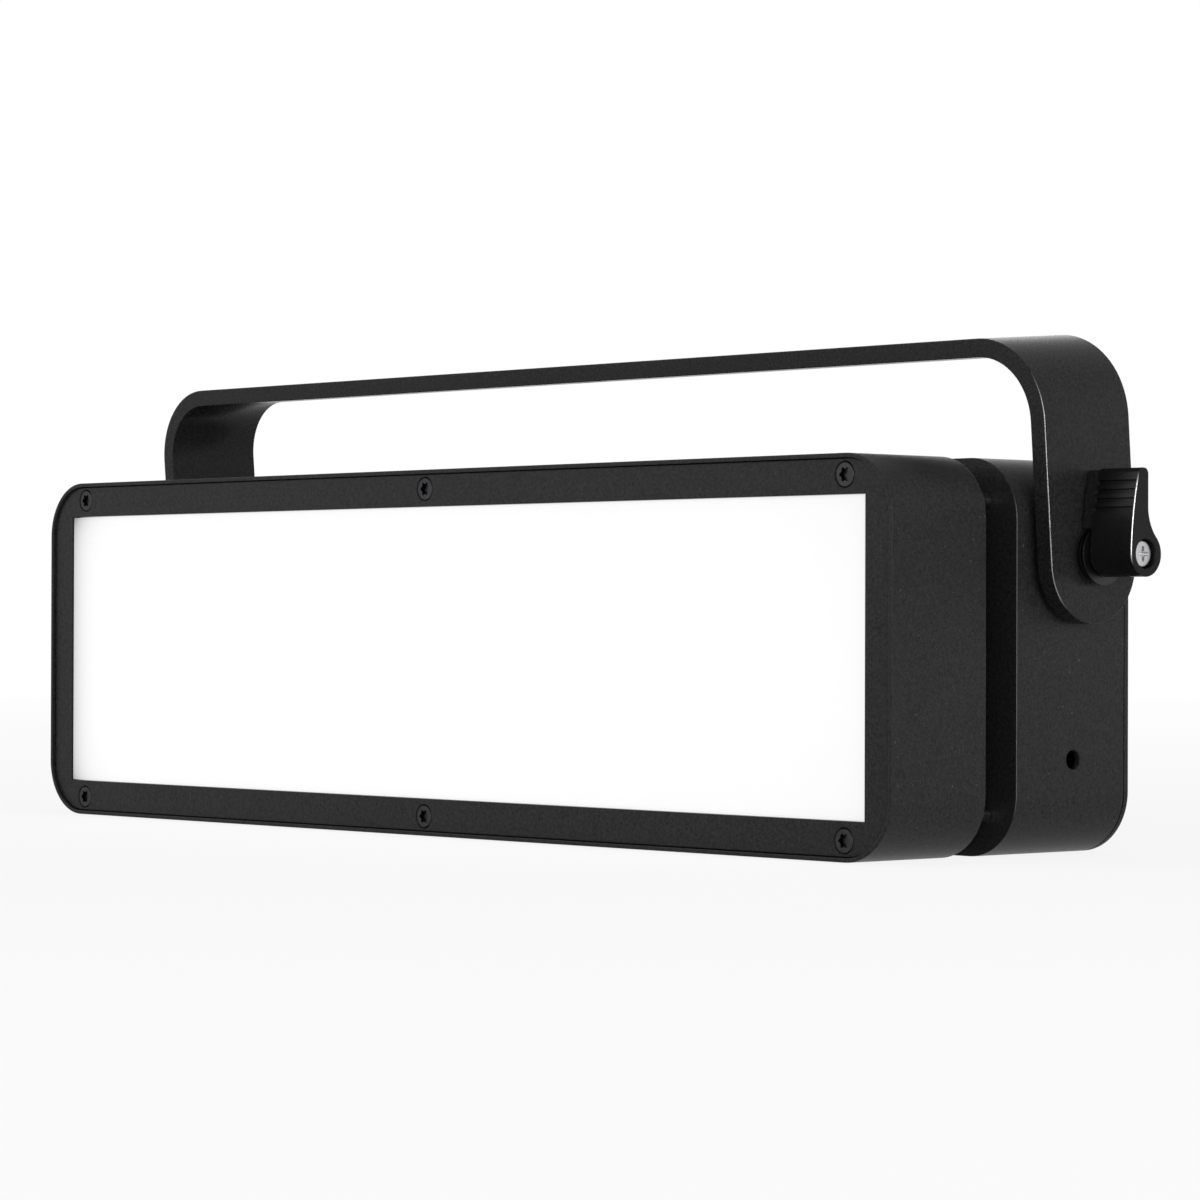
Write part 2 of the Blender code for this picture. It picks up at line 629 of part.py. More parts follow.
def led_lead(look):
    """Lead from the back of the LED board, through sink and conduit, to the driver board."""
    end_y = DRIVER_TOP_Y + SEAT + LEAD_RADIUS
    turn = 2 * LEAD_RADIUS
    straight = [(CONDUIT_X, SINK_Y), (CONDUIT_X, end_y - turn)]
    bend = arc((CONDUIT_X + turn, end_y - turn), turn, 180, 90, BEND_STEPS // 2)
    points = straight + bend[1:] + [(DRIVER_LOW[0] + LEAD_LANDING, end_y)]
    tube("led_lead", look, [(x, y, CONDUIT_Z) for x, y in points], LEAD_RADIUS, 2)


def rear_housing(look):
    end = COVER_Y - SEAT
    hole_end = BACK_Y - COVER_SCREW_LENGTH - HOLE_SPARE
    body = prism("rear_housing", look, head_outline(0), "Y", REAR_FRONT_Y, end, (0, 0, CENTRE_Z))
    cut(body, prism("rear_cavity", look, head_outline(WALL), "Y", REAR_FRONT_Y + WALL, end + WALL,
                    (0, 0, CENTRE_Z)))
    join(body, boss_tool("rear_bosses", look, hole_end - BOSS_SPARE + HOLE_SPARE, end - SEAT))
    cut(body, hole_set("rear_boss_holes", look, screw_places(), SCREW_SHANK_RADIUS + RUNNING, "Y",
                       hole_end, end + WALL, SMALL_STEPS))
    back_wall_holes(body, look, "rear", REAR_FRONT_Y)
    for side, start in (("right", SIDE_X - 2 * WALL), ("left", -SIDE_X - WALL)):
        stretch = (start, start + 3 * WALL)
        cut(body, hole_set(f"pivot_hole_{side}", look, [(0, PIVOT_Z)], PIVOT_RADIUS + RUNNING, "X",
                           *stretch))
        cut(body, hole_set(f"lower_hole_{side}", look, [(0, SPARE_HOLE_Z)], SPARE_HOLE_RADIUS, "X",
                           *stretch))


def bush(name, look, side, height, bore):
    """Flanged threaded bush on the inner face of the rear box's side wall."""
    face = SIDE_X - WALL - SEAT
    body = bore + BUSH_WALL
    steps = [(bore, face), (BUSH_FLANGE_RADIUS, face), (BUSH_FLANGE_RADIUS, face - BUSH_FLANGE),
             (body, face - BUSH_FLANGE), (body, face - BUSH_LENGTH), (bore, face - BUSH_LENGTH)]
    turned(name, look, [(radius, side * along) for radius, along in steps], "X", (0, 0, height),
           steps=HOLE_STEPS, ring=True)


def rear_cover(look):
    plate = prism("rear_cover", look, head_outline(0), "Y", COVER_Y, BACK_Y, (0, 0, CENTRE_Z))
    cut(plate, countersink_tool("cover_countersinks", look, BACK_Y, -1, COVER_THICKNESS))
    bm = bmesh.new()
    stretch = (COVER_Y - WALL, BACK_Y + WALL)
    opening = 2 * SEAT
    for x, size in ((INLET_X, INLET_BODY), (SWITCH_X, SWITCH_BODY)):
        add_prism(bm, rectangle(size[0] + opening, size[1] + opening, (x, FITTING_Z)), "Y", *stretch)
    for x in (DATA_IN_X, DATA_OUT_X):
        add_prism(bm, circle(DATA_BODY_RADIUS + SEAT, ROUND_STEPS, (x, FITTING_Z)), "Y", *stretch)
    add_prism(bm, display_outline(opening), "Y", *stretch)
    for x in button_places():
        outline = rounded_rectangle(BUTTON_SIZE[0] + opening, BUTTON_SIZE[1] + opening,
                                    BUTTON_CORNER + SEAT, 2)
        add_prism(bm, [(x + u, BUTTON_Z + v) for u, v in outline], "Y", *stretch)
    add_prism(bm, circle(KNOB_SHAFT + RUNNING, HOLE_STEPS, (KNOB_X, FITTING_Z)), "Y", *stretch)
    cut(plate, make("cover_openings", bm, look))


def display_outline(added):
    return rectangle(DISPLAY_SIZE[0] + added, DISPLAY_SIZE[1] + added, (DISPLAY_X, DISPLAY_Z))


def button_places():
    return [DISPLAY_X + (index - (BUTTON_COUNT - 1) / 2) * BUTTON_PITCH for index in range(BUTTON_COUNT)]


def sloped_recess():
    """Inlet's recess outline: a rectangle whose two upper corners are cut off."""
    across, up = INLET_RECESS[0] / 2, INLET_RECESS[1] / 2
    slope = INLET_SLOPE
    return [(-across, -up), (across, -up), (across, up - slope), (across - slope, up),
            (slope - across, up), (-across, up - slope)]


def power_inlet(look):
    """Mains inlet: flange outside the cover, body inside, three blades in the recess."""
    spot = (INLET_X, BACK_Y, FITTING_Z)
    flange = rounded_rectangle(*INLET_FLANGE, FLANGE_CORNER, 3)
    body = prism("power_inlet", look, flange, "Y", SEAT, SEAT + PLATE_THICKNESS, spot)
    join(body, prism("inlet_body", look, rectangle(*INLET_BODY), "Y", -INLET_DEPTH,
                     SEAT + PLATE_THICKNESS / 2, spot))
    cut(body, prism("inlet_recess", look, sloped_recess(), "Y", RECESS_FLOOR,
                    2 * PLATE_THICKNESS, spot))
    bm = bmesh.new()
    for u, v in ((-BLADE_SPREAD, -BLADE_RAISE), (BLADE_SPREAD, -BLADE_RAISE), (0.0, BLADE_RAISE)):
        add_prism(bm, rectangle(*BLADE, (u, v)), "Y", RECESS_FLOOR - SEAT,
                  RECESS_FLOOR + BLADE_LENGTH)
    join(body, make("inlet_blades", bm, look, spot))


def power_switch(frame_look, rocker_look):
    """Switch frame in the cover, and the rocker that tips in it about a level axis."""
    spot = (SWITCH_X, BACK_Y, FITTING_Z)
    flange = rounded_rectangle(*SWITCH_FLANGE, BUTTON_CORNER, 2)
    frame = prism("switch_frame", frame_look, flange, "Y", SEAT, SEAT + PLATE_THICKNESS, spot)
    join(frame, prism("switch_body", frame_look, rectangle(*SWITCH_BODY), "Y", -SWITCH_DEPTH,
                      SEAT + PLATE_THICKNESS / 2, spot))
    cut(frame, prism("switch_recess", frame_look, rectangle(*SWITCH_RECESS), "Y", -SWITCH_FLOOR,
                     2 * PLATE_THICKNESS, spot))
    outline = [(-ROCKER_BACK, -ROCKER_HALF), (ROCKER_PROUD, -ROCKER_HALF), (ROCKER_VALLEY, 0.0),
               (ROCKER_PROUD, ROCKER_HALF), (-ROCKER_BACK, ROCKER_HALF)]
    half = SWITCH_RECESS[0] / 2 - RUNNING
    axis_y = BACK_Y + PLATE_THICKNESS - ROCKER_AXIS_SUNK
    rocker = prism("switch_rocker", rocker_look, outline, "X", -half, half,
                   (SWITCH_X, axis_y, FITTING_Z))
    rocker.rotation_euler.x = math.radians(-ROCKER_TILT)


def pin_circle():
    """The data contacts on most of a circle, with the gap towards the bottom."""
    first = 90 - PIN_SPREAD * (PIN_COUNT - 1) / 2
    angles = [math.radians(first + PIN_SPREAD * index) for index in range(PIN_COUNT)]
    return [(PIN_CIRCLE * math.cos(a), PIN_CIRCLE * math.sin(a)) for a in angles]


def data_shell(name, look, spot):
    """Flange outside the cover and round body inside it, shared by both connectors."""
    flange = rounded_rectangle(*DATA_FLANGE, FLANGE_CORNER, 3)
    body = prism(name, look, flange, "Y", SEAT, SEAT + PLATE_THICKNESS, spot)
    join(body, prism(f"{name}_body", look, circle(DATA_BODY_RADIUS), "Y", -DATA_DEPTH,
                     SEAT + PLATE_THICKNESS / 2, spot))
    return body


def data_in(look):
    """Data inlet: a round recess with pins on its floor."""
    spot = (DATA_IN_X, BACK_Y, FITTING_Z)
    body = data_shell("data_in", look, spot)
    cut(body, prism("data_in_recess", look, circle(DATA_BORE), "Y", RECESS_FLOOR,
                    2 * PLATE_THICKNESS, spot))
    bm = bmesh.new()
    for u, v in pin_circle():
        add_prism(bm, circle(PIN_RADIUS, TINY_STEPS, (u, v)), "Y", RECESS_FLOOR - SEAT,
                  RECESS_FLOOR + PIN_LENGTH)
    join(body, make("data_in_pins", bm, look, spot))


def data_out(look):
    """Data outlet: a ring groove round an insert with pin holes."""
    spot = (DATA_OUT_X, BACK_Y, FITTING_Z)
    body = data_shell("data_out", look, spot)
    mouth = 2 * PLATE_THICKNESS
    groove = [(INSERT_RADIUS, RECESS_FLOOR), (DATA_BORE, RECESS_FLOOR), (DATA_BORE, mouth),
              (INSERT_RADIUS, mouth)]
    cut(body, turned("data_out_groove", look, groove, "Y", spot, ring=True))
    bm = bmesh.new()
    for u, v in pin_circle():
        add_prism(bm, circle(PIN_HOLE_RADIUS, TINY_STEPS, (u, v)), "Y", RECESS_FLOOR, mouth)
    cut(body, make("data_out_holes", bm, look, spot))


def display_and_buttons(glass, cap_look):
    """Display window flush in the cover, and the menu buttons below it."""
    prism("display_window", glass, display_outline(0), "Y", COVER_Y, BACK_Y)
    cap = rounded_rectangle(*BUTTON_SIZE, BUTTON_CORNER, 2)
    lip = rounded_rectangle(BUTTON_SIZE[0] + 2 * BUTTON_LIP, BUTTON_SIZE[1] + 2 * BUTTON_LIP,
                            BUTTON_CORNER, 2)
    for number, x in enumerate(button_places(), start=1):
        spot = (x, COVER_Y, BUTTON_Z)
        button = prism(f"menu_button_{number}", cap_look, cap, "Y", -BUTTON_LIP,
                       COVER_THICKNESS + BUTTON_PROUD, spot)
        join(button, prism(f"menu_button_{number}_lip", cap_look, lip, "Y", -SEAT - BUTTON_LIP,
                           -SEAT, spot))


def dimmer_knob(look):
    """Knob with a skirt, and its shaft through the cover to the encoder."""
    top = KNOB_GAP + KNOB_HEIGHT
    shaft_end = -COVER_THICKNESS - KNOB_SHAFT_REACH
    grip = KNOB_RADIUS - KNOB_SKIRT
    profile = [(0, shaft_end), (KNOB_SHAFT, shaft_end), (KNOB_SHAFT, KNOB_GAP),
               (KNOB_RADIUS, KNOB_GAP), (KNOB_RADIUS, KNOB_GAP + KNOB_SKIRT),
               (grip, KNOB_GAP + 2 * KNOB_SKIRT), (grip, top - KNOB_EDGE), (grip - KNOB_EDGE, top),
               (0, top)]
    turned("dimmer_knob", look, profile, "Y", (KNOB_X, BACK_Y, FITTING_Z))


def power_supply(look):
    """Enclosed supply on the rear box's front wall, stepped down at its terminal end."""
    start = REAR_FRONT_Y + WALL + SEAT
    step_x = SUPPLY_LOW[0] + SUPPLY_STEP_LENGTH
    step_y = start + SUPPLY_STEP_DEPTH
    outline = [(SUPPLY_LOW[0], start), (SUPPLY_HIGH[0], start),
               (SUPPLY_HIGH[0], start + SUPPLY_DEPTH), (step_x, start + SUPPLY_DEPTH),
               (step_x, step_y), (SUPPLY_LOW[0], step_y)]
    case = prism("power_supply", look, outline, "Z", SUPPLY_LOW[1], SUPPLY_HIGH[1])
    length, tall, deep = TERMINALS
    middle = (SUPPLY_LOW[0] + SUPPLY_STEP_LENGTH / 2, CENTRE_Z)
    join(case, prism("supply_terminals", look, rectangle(length, tall, middle), "Y",
                     step_y - SEAT, step_y + deep))


def board_spacers(low, high):
    return [(x, z) for x in (low[0] + SPACER_INSET, high[0] - SPACER_INSET)
            for z in (low[1] + SPACER_INSET, high[1] - SPACER_INSET)]


def board_outline(low, high):
    return [low, (high[0], low[1]), high, (low[0], high[1])]


def driver_board(look):
    """LED driver on four spacers, with its coils, capacitors and cooling block."""
    top = DRIVER_TOP_Y
    face = top - BOARD_THICKNESS
    board = prism("driver_board", look, board_outline(DRIVER_LOW, DRIVER_HIGH), "Y", face, top)
    join(board, hole_set("driver_spacers", look, board_spacers(DRIVER_LOW, DRIVER_HIGH),
                         SPACER_RADIUS, "Y", face - SPACER_HEIGHT, face + BOARD_THICKNESS / 2,
                         SMALL_STEPS))
    middle_x = (DRIVER_LOW[0] + DRIVER_HIGH[0]) / 2
    bm = bmesh.new()
    for across, up, width, height, tall in DRIVER_PARTS:
        outline = rectangle(width, height, (middle_x + across, CENTRE_Z + up))
        add_prism(bm, outline, "Y", top - SEAT, top + tall)
    join(board, make("driver_components", bm, look))


def control_board(look):
    """Board behind the cover: display module, button switches, encoder and spacers."""
    end = COVER_Y - CONTROL_SETBACK
    start = end - BOARD_THICKNESS
    board = prism("control_board", look, board_outline(CONTROL_LOW, CONTROL_HIGH), "Y", start, end)
    join(board, hole_set("control_spacers", look, board_spacers(CONTROL_LOW, CONTROL_HIGH),
                         SPACER_RADIUS, "Y", start + BOARD_THICKNESS / 2, COVER_Y - SEAT, SMALL_STEPS))
    inside = end - SEAT
    switch_end = COVER_Y - 2 * SEAT - BUTTON_LIP - BUTTON_TRAVEL
    encoder_end = COVER_Y - KNOB_SHAFT_REACH - SEAT
    bm = bmesh.new()
    add_prism(bm, display_outline(2 * DISPLAY_LAP), "Y", inside, COVER_Y - SEAT)
    for x in button_places():
        add_prism(bm, rectangle(*BUTTON_SIZE, (x, BUTTON_Z)), "Y", inside, switch_end)
    add_prism(bm, rectangle(ENCODER_SIZE, ENCODER_SIZE, (KNOB_X, FITTING_Z)), "Y", inside,
              encoder_end)
    join(board, make("control_components", bm, look))


def bar_point(distance, out):
    """Where a point of the flat bar goes when the bar is bent to the yoke's U."""
    if distance > BAR_LENGTH / 2:
        x, z = bar_point(BAR_LENGTH - distance, out)
        return -x, z
    if distance <= ARM_LENGTH:
        return BEND_X + BEND_MIDDLE + out, BEND_Z - ARM_LENGTH + distance
    angle = (distance - ARM_LENGTH) / BEND_MIDDLE
    if angle <= math.pi / 2:
        reach = BEND_MIDDLE + out
        return BEND_X + reach * math.cos(angle), BEND_Z + reach * math.sin(angle)
    past = distance - ARM_LENGTH - BEND_LENGTH
    return BEND_X - past, BEND_Z + BEND_MIDDLE + out


def flat_bar():
    """The yoke before bending: half-round ends, eased edges, cut across at each bend step."""
    half = BAR_WIDTH / 2
    bm = bmesh.new()
    outline = (arc((BAR_LENGTH - half, 0), half, -90, 90, 2 * CORNER_STEPS)
               + arc((half, 0), half, 90, 270, 2 * CORNER_STEPS))
    add_prism(bm, outline, "Z", -BAR_THICKNESS / 2, BAR_THICKNESS / 2)
    rims = [edge for edge in bm.edges if abs(edge.verts[0].co.z - edge.verts[1].co.z) < MERGE]
    bmesh.ops.bevel(bm, geom=rims, offset=BAR_EDGE, segments=2, profile=0.5, affect="EDGES",
                    material=-1)
    for step in range(BEND_STEPS + 1):
        along = ARM_LENGTH + BEND_LENGTH * step / BEND_STEPS
        for cut_x in (along, BAR_LENGTH - along):
            bmesh.ops.bisect_plane(bm, geom=bm.verts[:] + bm.edges[:] + bm.faces[:],
                                   plane_co=(cut_x, 0, 0), plane_no=(1, 0, 0))
    return bm


def yoke(look, pivot):
    """Flat bar bent to a U, with its pivot holes and the hanging hole in its run."""
    bm = flat_bar()
    for vert in bm.verts:
        distance, across, out = vert.co
        x, z = bar_point(distance, out)
        vert.co = (x, across, z)
    bar = make("yoke", bm, look, parent=pivot)
    pivot_bore = hole_set("yoke_pivot_bore", look, [(0, 0)], PIVOT_RADIUS + RUNNING, "X",
                          -YOKE_OUTER_X - BAR_THICKNESS, YOKE_OUTER_X + BAR_THICKNESS)
    hanging = hole_set("yoke_hanging_bore", look, [(0, 0)], HANGING_HOLE_RADIUS, "Z",
                       YOKE_RISE - 2 * BAR_THICKNESS, YOKE_RISE + BAR_THICKNESS, ROUND_STEPS)
    for tool in (pivot_bore, hanging):
        tool.parent = pivot
        cut(bar, tool)


def lever_flank(share):
    """Point of the lever's bulged front flank, from the hub (0) to the tip (1)."""
    foot = Vector((-LEVER_HUB_RADIUS, 0.0))
    tip = Vector((-LEVER_TIP_FRONT, LEVER_HEIGHT - LEVER_TIP_ROUND))
    out = Vector((foot.y - tip.y, tip.x - foot.x)).normalized()
    return foot.lerp(tip, share) + out * (4 * LEVER_BULGE * share * (1 - share))


def lever_outline():
    """Side view of the lever, in Y and Z: round hub, slim tip, hollow rear flank."""
    centre_y = LEVER_TIP_REAR + LEVER_FILLET
    centre_z = math.sqrt((LEVER_HUB_RADIUS + LEVER_FILLET) ** 2 - centre_y ** 2)
    meet = math.degrees(math.atan2(centre_z, centre_y))
    top = LEVER_HEIGHT - LEVER_TIP_ROUND
    hub = arc((0, 0), LEVER_HUB_RADIUS, 180, 360 + meet, ROUND_STEPS // 2)
    rear = arc((centre_y, centre_z), LEVER_FILLET, 180 + meet, 180, CORNER_STEPS)[1:]
    rear_tip = arc((LEVER_TIP_REAR - LEVER_TIP_ROUND, top), LEVER_TIP_ROUND, 0, 90, 2)
    front_tip = arc((LEVER_TIP_ROUND - LEVER_TIP_FRONT, top), LEVER_TIP_ROUND, 90, 180, 2)
    flank = [tuple(lever_flank(step / FLANK_STEPS)) for step in range(FLANK_STEPS - 1, 0, -1)]
    return hub + rear + rear_tip + front_tip + flank


def lever(name, look, parent):
    """Clamp lever: hub bored for the stud, the spring and the screw, tapered inner edge."""
    bm = bmesh.new()
    rims = add_prism(bm, lever_outline(), "X", LEVER_OUTER, LEVER_INNER + LEVER_SKIRT_OVERLAP)
    inner = [face for face in bm.faces if all(vert in rims for vert in face.verts)]
    skirt = bmesh.ops.extrude_face_region(bm, geom=inner)["geom"]
    drawn_in = [item for item in skirt if isinstance(item, bmesh.types.BMVert)]
    middle_z = (LEVER_HEIGHT - LEVER_HUB_RADIUS) / 2
    for vert in drawn_in:
        inward = Vector((0, -vert.co.y, middle_z - vert.co.z)).normalized()
        vert.co += inward * LEVER_SKIRT_DRAFT
        vert.co.x = LEVER_SKIRT_END
    bmesh.ops.delete(bm, geom=inner, context="FACES_ONLY")
    handle = make(name, bm, look, parent=parent)
    bores = ((FLANGE_RADIUS + LEVER_POCKET_CLEAR, -WALL, LEVER_INNER),
             (POST_RADIUS + RUNNING, 0.0, WEB_START),
             (HUB_BORE, 0.0, LEVER_OUTER),
             (HUB_SCREW_HEAD_RADIUS + HUB_SCREW_HEAD_CLEAR, WEB_END, LEVER_OUTER + WALL))
    for number, (radius, start, end) in enumerate(bores, start=1):
        bore = prism(f"{name}_bore_{number}", look, circle(radius), "X", start, end, parent=parent)
        cut(handle, bore)
    cut(handle, groove_tool(f"{name}_grooves", look, parent))


def groove_tool(name, look, parent):
    """Grip grooves across the front flank, square to it, stopped short of the outer face."""
    bm = bmesh.new()
    for index in range(GROOVE_COUNT):
        share = (GROOVE_FIRST + GROOVE_PITCH * index) / (LEVER_HEIGHT - LEVER_TIP_ROUND)
        middle = lever_flank(share)
        along = (lever_flank(share + GROOVE_WIDTH / LEVER_HEIGHT) - middle).normalized()
        out = Vector((-along.y, along.x))
        half = along * (GROOVE_WIDTH / 2)
        deep, proud = middle - out * GROOVE_DEPTH, middle + out * WALL
        corners = [deep - half, deep + half, proud + half, proud - half]
        add_prism(bm, [tuple(corner) for corner in corners], "X", -WALL, LEVER_OUTER - GROOVE_STOP)
    return make(name, bm, look, parent=parent)


def hub_screw(name, look, parent):
    """Cross-recess screw that holds the lever and its spring on the stud."""
    profile = [(0, HUB_SCREW_END), (HUB_SCREW_SHANK, HUB_SCREW_END),
               (HUB_SCREW_SHANK, HUB_SCREW_UNDER), (HUB_SCREW_HEAD_RADIUS, HUB_SCREW_UNDER),
               (HUB_SCREW_HEAD_RADIUS, HUB_SCREW_TOP), (0, HUB_SCREW_TOP)]
    screw = turned(name, look, profile, "X", parent=parent, steps=HOLE_STEPS)
    half, width = CROSS_LENGTH / 2, CROSS_WIDTH / 2
    cross = [(half, -width), (half, width), (width, width), (width, half), (-width, half),
             (-width, width), (-half, width), (-half, -width), (-width, -width), (-width, -half),
             (width, -half), (width, -width)]
    cut(screw, prism(f"{name}_cross", look, cross, "X", HUB_SCREW_TOP - CROSS_DEPTH,
                     HUB_SCREW_TOP + WALL, parent=parent))


def clamp_stud(name, look, parent):
    """Steel stud: shaft into the bush, collar and flange on the washer, post in the lever."""
    floor = HUB_SCREW_END - SEAT
    profile = [(0, STUD_END), (PIVOT_RADIUS, STUD_END), (PIVOT_RADIUS, COLLAR_START),
               (COLLAR_RADIUS, COLLAR_START), (COLLAR_RADIUS, FLANGE_START),
               (FLANGE_RADIUS, FLANGE_START), (FLANGE_RADIUS, FLANGE_END),
               (POST_RADIUS, FLANGE_END), (POST_RADIUS, POST_END), (HUB_BORE, POST_END),
               (HUB_BORE, floor), (0, floor)]
    turned(name, look, profile, "X", parent=parent)


def tube(name, look, points, radius, resolution, parent=None):
    """A round rod along a line of points, with closed ends."""
    curve = bpy.data.curves.new(name, "CURVE")
    curve.dimensions = "3D"
    curve.bevel_depth = radius
    curve.bevel_resolution = resolution
    curve.use_fill_caps = True
    spline = curve.splines.new("POLY")
    spline.points.add(len(points) - 1)
    for point, place_at in zip(spline.points, points):
        point.co = (*place_at, 1.0)
    curve.materials.append(look)
    rod = bpy.data.objects.new(name, curve)
    bpy.context.scene.collection.objects.link(rod)
    rod.parent = parent


def hub_spring(name, look, parent):
    """Coil spring between the lever's web and the screw's head."""
    start = WEB_END + SEAT + SPRING_WIRE
    end = HUB_SCREW_UNDER - SEAT - SPRING_WIRE
    count = SPRING_TURNS * SPRING_POINTS
    points = []
    for index in range(count + 1):
        angle = math.tau * index / SPRING_POINTS
        points.append((start + (end - start) * index / count, SPRING_RADIUS * math.cos(angle),
                       SPRING_RADIUS * math.sin(angle)))
    tube(name, look, points, SPRING_WIRE, 1, parent)


def ring_piece(name, look, start, end, radius, parent):
    """A flat ring on the pivot's shaft."""
    bore = PIVOT_RADIUS + RUNNING
    profile = [(bore, start), (radius, start), (radius, end), (bore, end)]
    turned(name, look, profile, "X", parent=parent, ring=True)


def clamp(side, direction, black, dark, steel):
    """One side's washers, stud, lever, spring and screw, measured from the yoke's face."""
    axis = bpy.data.objects.new(f"clamp_axis_{side}", None)
    bpy.context.scene.collection.objects.link(axis)
    axis.location = (direction * YOKE_OUTER_X, 0, PIVOT_Z)
    axis.rotation_euler.z = 0.0 if direction > 0 else math.pi
    ring_piece(f"side_washer_{side}", black, SEAT - BAR_THICKNESS - SIDE_GAP,
               -BAR_THICKNESS - SEAT, SIDE_WASHER_RADIUS, axis)
    ring_piece(f"plain_washer_{side}", dark, SEAT, WASHER_END, WASHER_RADIUS, axis)
    clamp_stud(f"clamp_stud_{side}", dark, axis)
    lever(f"clamp_lever_{side}", black, axis)
    hub_spring(f"lever_spring_{side}", steel, axis)
    hub_screw(f"lever_screw_{side}", steel, axis)


def main():
    for old in list(bpy.data.objects):
        bpy.data.objects.remove(old, do_unlink=True)
    case = finish("black_case", (0.030, 0.030, 0.031), 0.62, 0.0)
    bar = finish("black_bar", (0.028, 0.028, 0.030), 0.55, 0.0)
    satin = finish("satin_black", (0.012, 0.012, 0.013), 0.38, 0.0)
    white = finish("opal_white", (0.92, 0.92, 0.92), 0.5, 0.0)
    steel = finish("bright_steel", (0.62, 0.62, 0.64), 0.28, 1.0)
    oxide = finish("black_oxide", (0.022, 0.022, 0.024), 0.34, 0.8)
    bare = finish("mill_aluminium", (0.72, 0.73, 0.74), 0.42, 1.0)
    board = finish("board_green", (0.03, 0.12, 0.06), 0.5, 0.0)
    glass = finish("smoked_glass", (0.02, 0.02, 0.025), 0.08, 0.0)

    front_housing(case)
    front_bezel(case)
    light_engine(white, board, bare)
    countersunk_screws("bezel_screw", oxide, BEZEL_Y, 1, BEZEL_SCREW_LENGTH)
    standoffs(oxide)
    conduit(satin)
    led_lead(satin)

    rear_housing(case)
    rear_cover(case)
    countersunk_screws("cover_screw", oxide, BACK_Y, -1, COVER_SCREW_LENGTH)
    for side, direction in (("right", 1), ("left", -1)):
        bush(f"pivot_bush_{side}", oxide, direction, PIVOT_Z, PIVOT_RADIUS + RUNNING)
        bush(f"lower_bush_{side}", oxide, direction, SPARE_HOLE_Z, SPARE_HOLE_RADIUS)
    power_supply(bare)
    driver_board(board)
    control_board(board)
    power_inlet(satin)
    power_switch(satin, satin)
    data_in(satin)
    data_out(satin)
    display_and_buttons(glass, satin)
    dimmer_knob(satin)

    pivot = bpy.data.objects.new("yoke_pivot", None)
    bpy.context.scene.collection.objects.link(pivot)
    pivot.location = (0, 0, PIVOT_Z)
    pivot.rotation_euler.x = math.radians(YOKE_LEAN)
    yoke(bar, pivot)
    clamp("right", 1, satin, oxide, steel)
    clamp("left", -1, satin, oxide, steel)


main()
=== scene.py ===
# %% [markdown]
# # An LED soft light panel, piece by piece
#
# A stage lamp for soft white light. A shallow front box holds a lit opal window. It stands on
# four short spacers in front of a second box of the same outline, which holds the electronics.
# A bent flat bar, the yoke, carries both boxes between two clamp levers.
#
# The lamp's solids are loaded first and stay where they are. Each step after that takes one
# finish or one piece, says what it is on the real lamp, and makes its fine surface.

# %% Load the lamp's solids
import math

import bmesh
import bpy
from mathutils import Matrix, Vector


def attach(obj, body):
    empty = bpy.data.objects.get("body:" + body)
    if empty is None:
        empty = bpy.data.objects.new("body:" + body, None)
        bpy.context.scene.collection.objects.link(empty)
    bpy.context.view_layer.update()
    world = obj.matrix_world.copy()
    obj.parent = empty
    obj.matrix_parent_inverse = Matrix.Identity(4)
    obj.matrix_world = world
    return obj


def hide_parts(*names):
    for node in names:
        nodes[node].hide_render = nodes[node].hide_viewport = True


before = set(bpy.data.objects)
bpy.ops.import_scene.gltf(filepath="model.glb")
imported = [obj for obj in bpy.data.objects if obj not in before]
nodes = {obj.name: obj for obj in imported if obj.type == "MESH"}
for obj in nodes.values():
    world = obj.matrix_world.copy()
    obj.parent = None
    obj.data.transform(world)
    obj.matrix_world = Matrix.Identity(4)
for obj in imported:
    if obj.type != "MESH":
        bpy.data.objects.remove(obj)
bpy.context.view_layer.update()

# %% [markdown]
# ## Shader maths as plain Python
#
# A finish is a small sum of textures. Wiring each Math node by hand hides that sum, so one class
# wraps a node's output and lets Python's own operators add the nodes. Numbers may stand on
# either side of an operator, so the reflected forms are there too.

# %% A node's output that takes part in sums
class Value:
    """One output of a node tree. Each operator adds one Math node."""

    def __init__(self, tree, socket):
        self.tree, self.socket = tree, socket

    def maths(self, operation, *terms):
        node = self.tree.nodes.new("ShaderNodeMath")
        node.operation = operation
        for slot, term in zip(node.inputs, terms):
            feed(self.tree, term, slot)
        return Value(self.tree, node.outputs[0])

    def __add__(self, other):
        return self.maths("ADD", self, other)

    def __sub__(self, other):
        return self.maths("SUBTRACT", self, other)

    def __rsub__(self, other):
        return self.maths("SUBTRACT", other, self)

    def __mul__(self, other):
        return self.maths("MULTIPLY", self, other)

    def __gt__(self, other):
        return self.maths("GREATER_THAN", self, other)

    __radd__ = __add__
    __rmul__ = __mul__

    def exp(self):
        return self.maths("EXPONENT", self)

    def least(self, other):
        return self.maths("MINIMUM", self, other)


def feed(tree, term, slot):
    """Link a Value to a socket, or write a plain number or colour into it."""
    if isinstance(term, Value):
        tree.links.new(term.socket, slot)
    else:
        slot.default_value = term

# %% [markdown]
# ## One class for a finish
#
# Every other node comes from one method: its type, its settings, then the values or links of its
# sockets. The textures read Object coordinates, which on this lamp are real metres, so a grain
# size in a finish is the grain's true size on the surface.

# %% A finish and its nodes
class Nodes:
    """A node tree that is built one call at a time."""

    def __init__(self, tree):
        self.tree = tree

    def node(self, kind, settings, sockets, output=0):
        made = self.tree.nodes.new(kind)
        for key, value in settings.items():
            setattr(made, key, value)
        for key, value in sockets.items():
            feed(self.tree, value, made.inputs[key])
        return Value(self.tree, made.outputs[output])


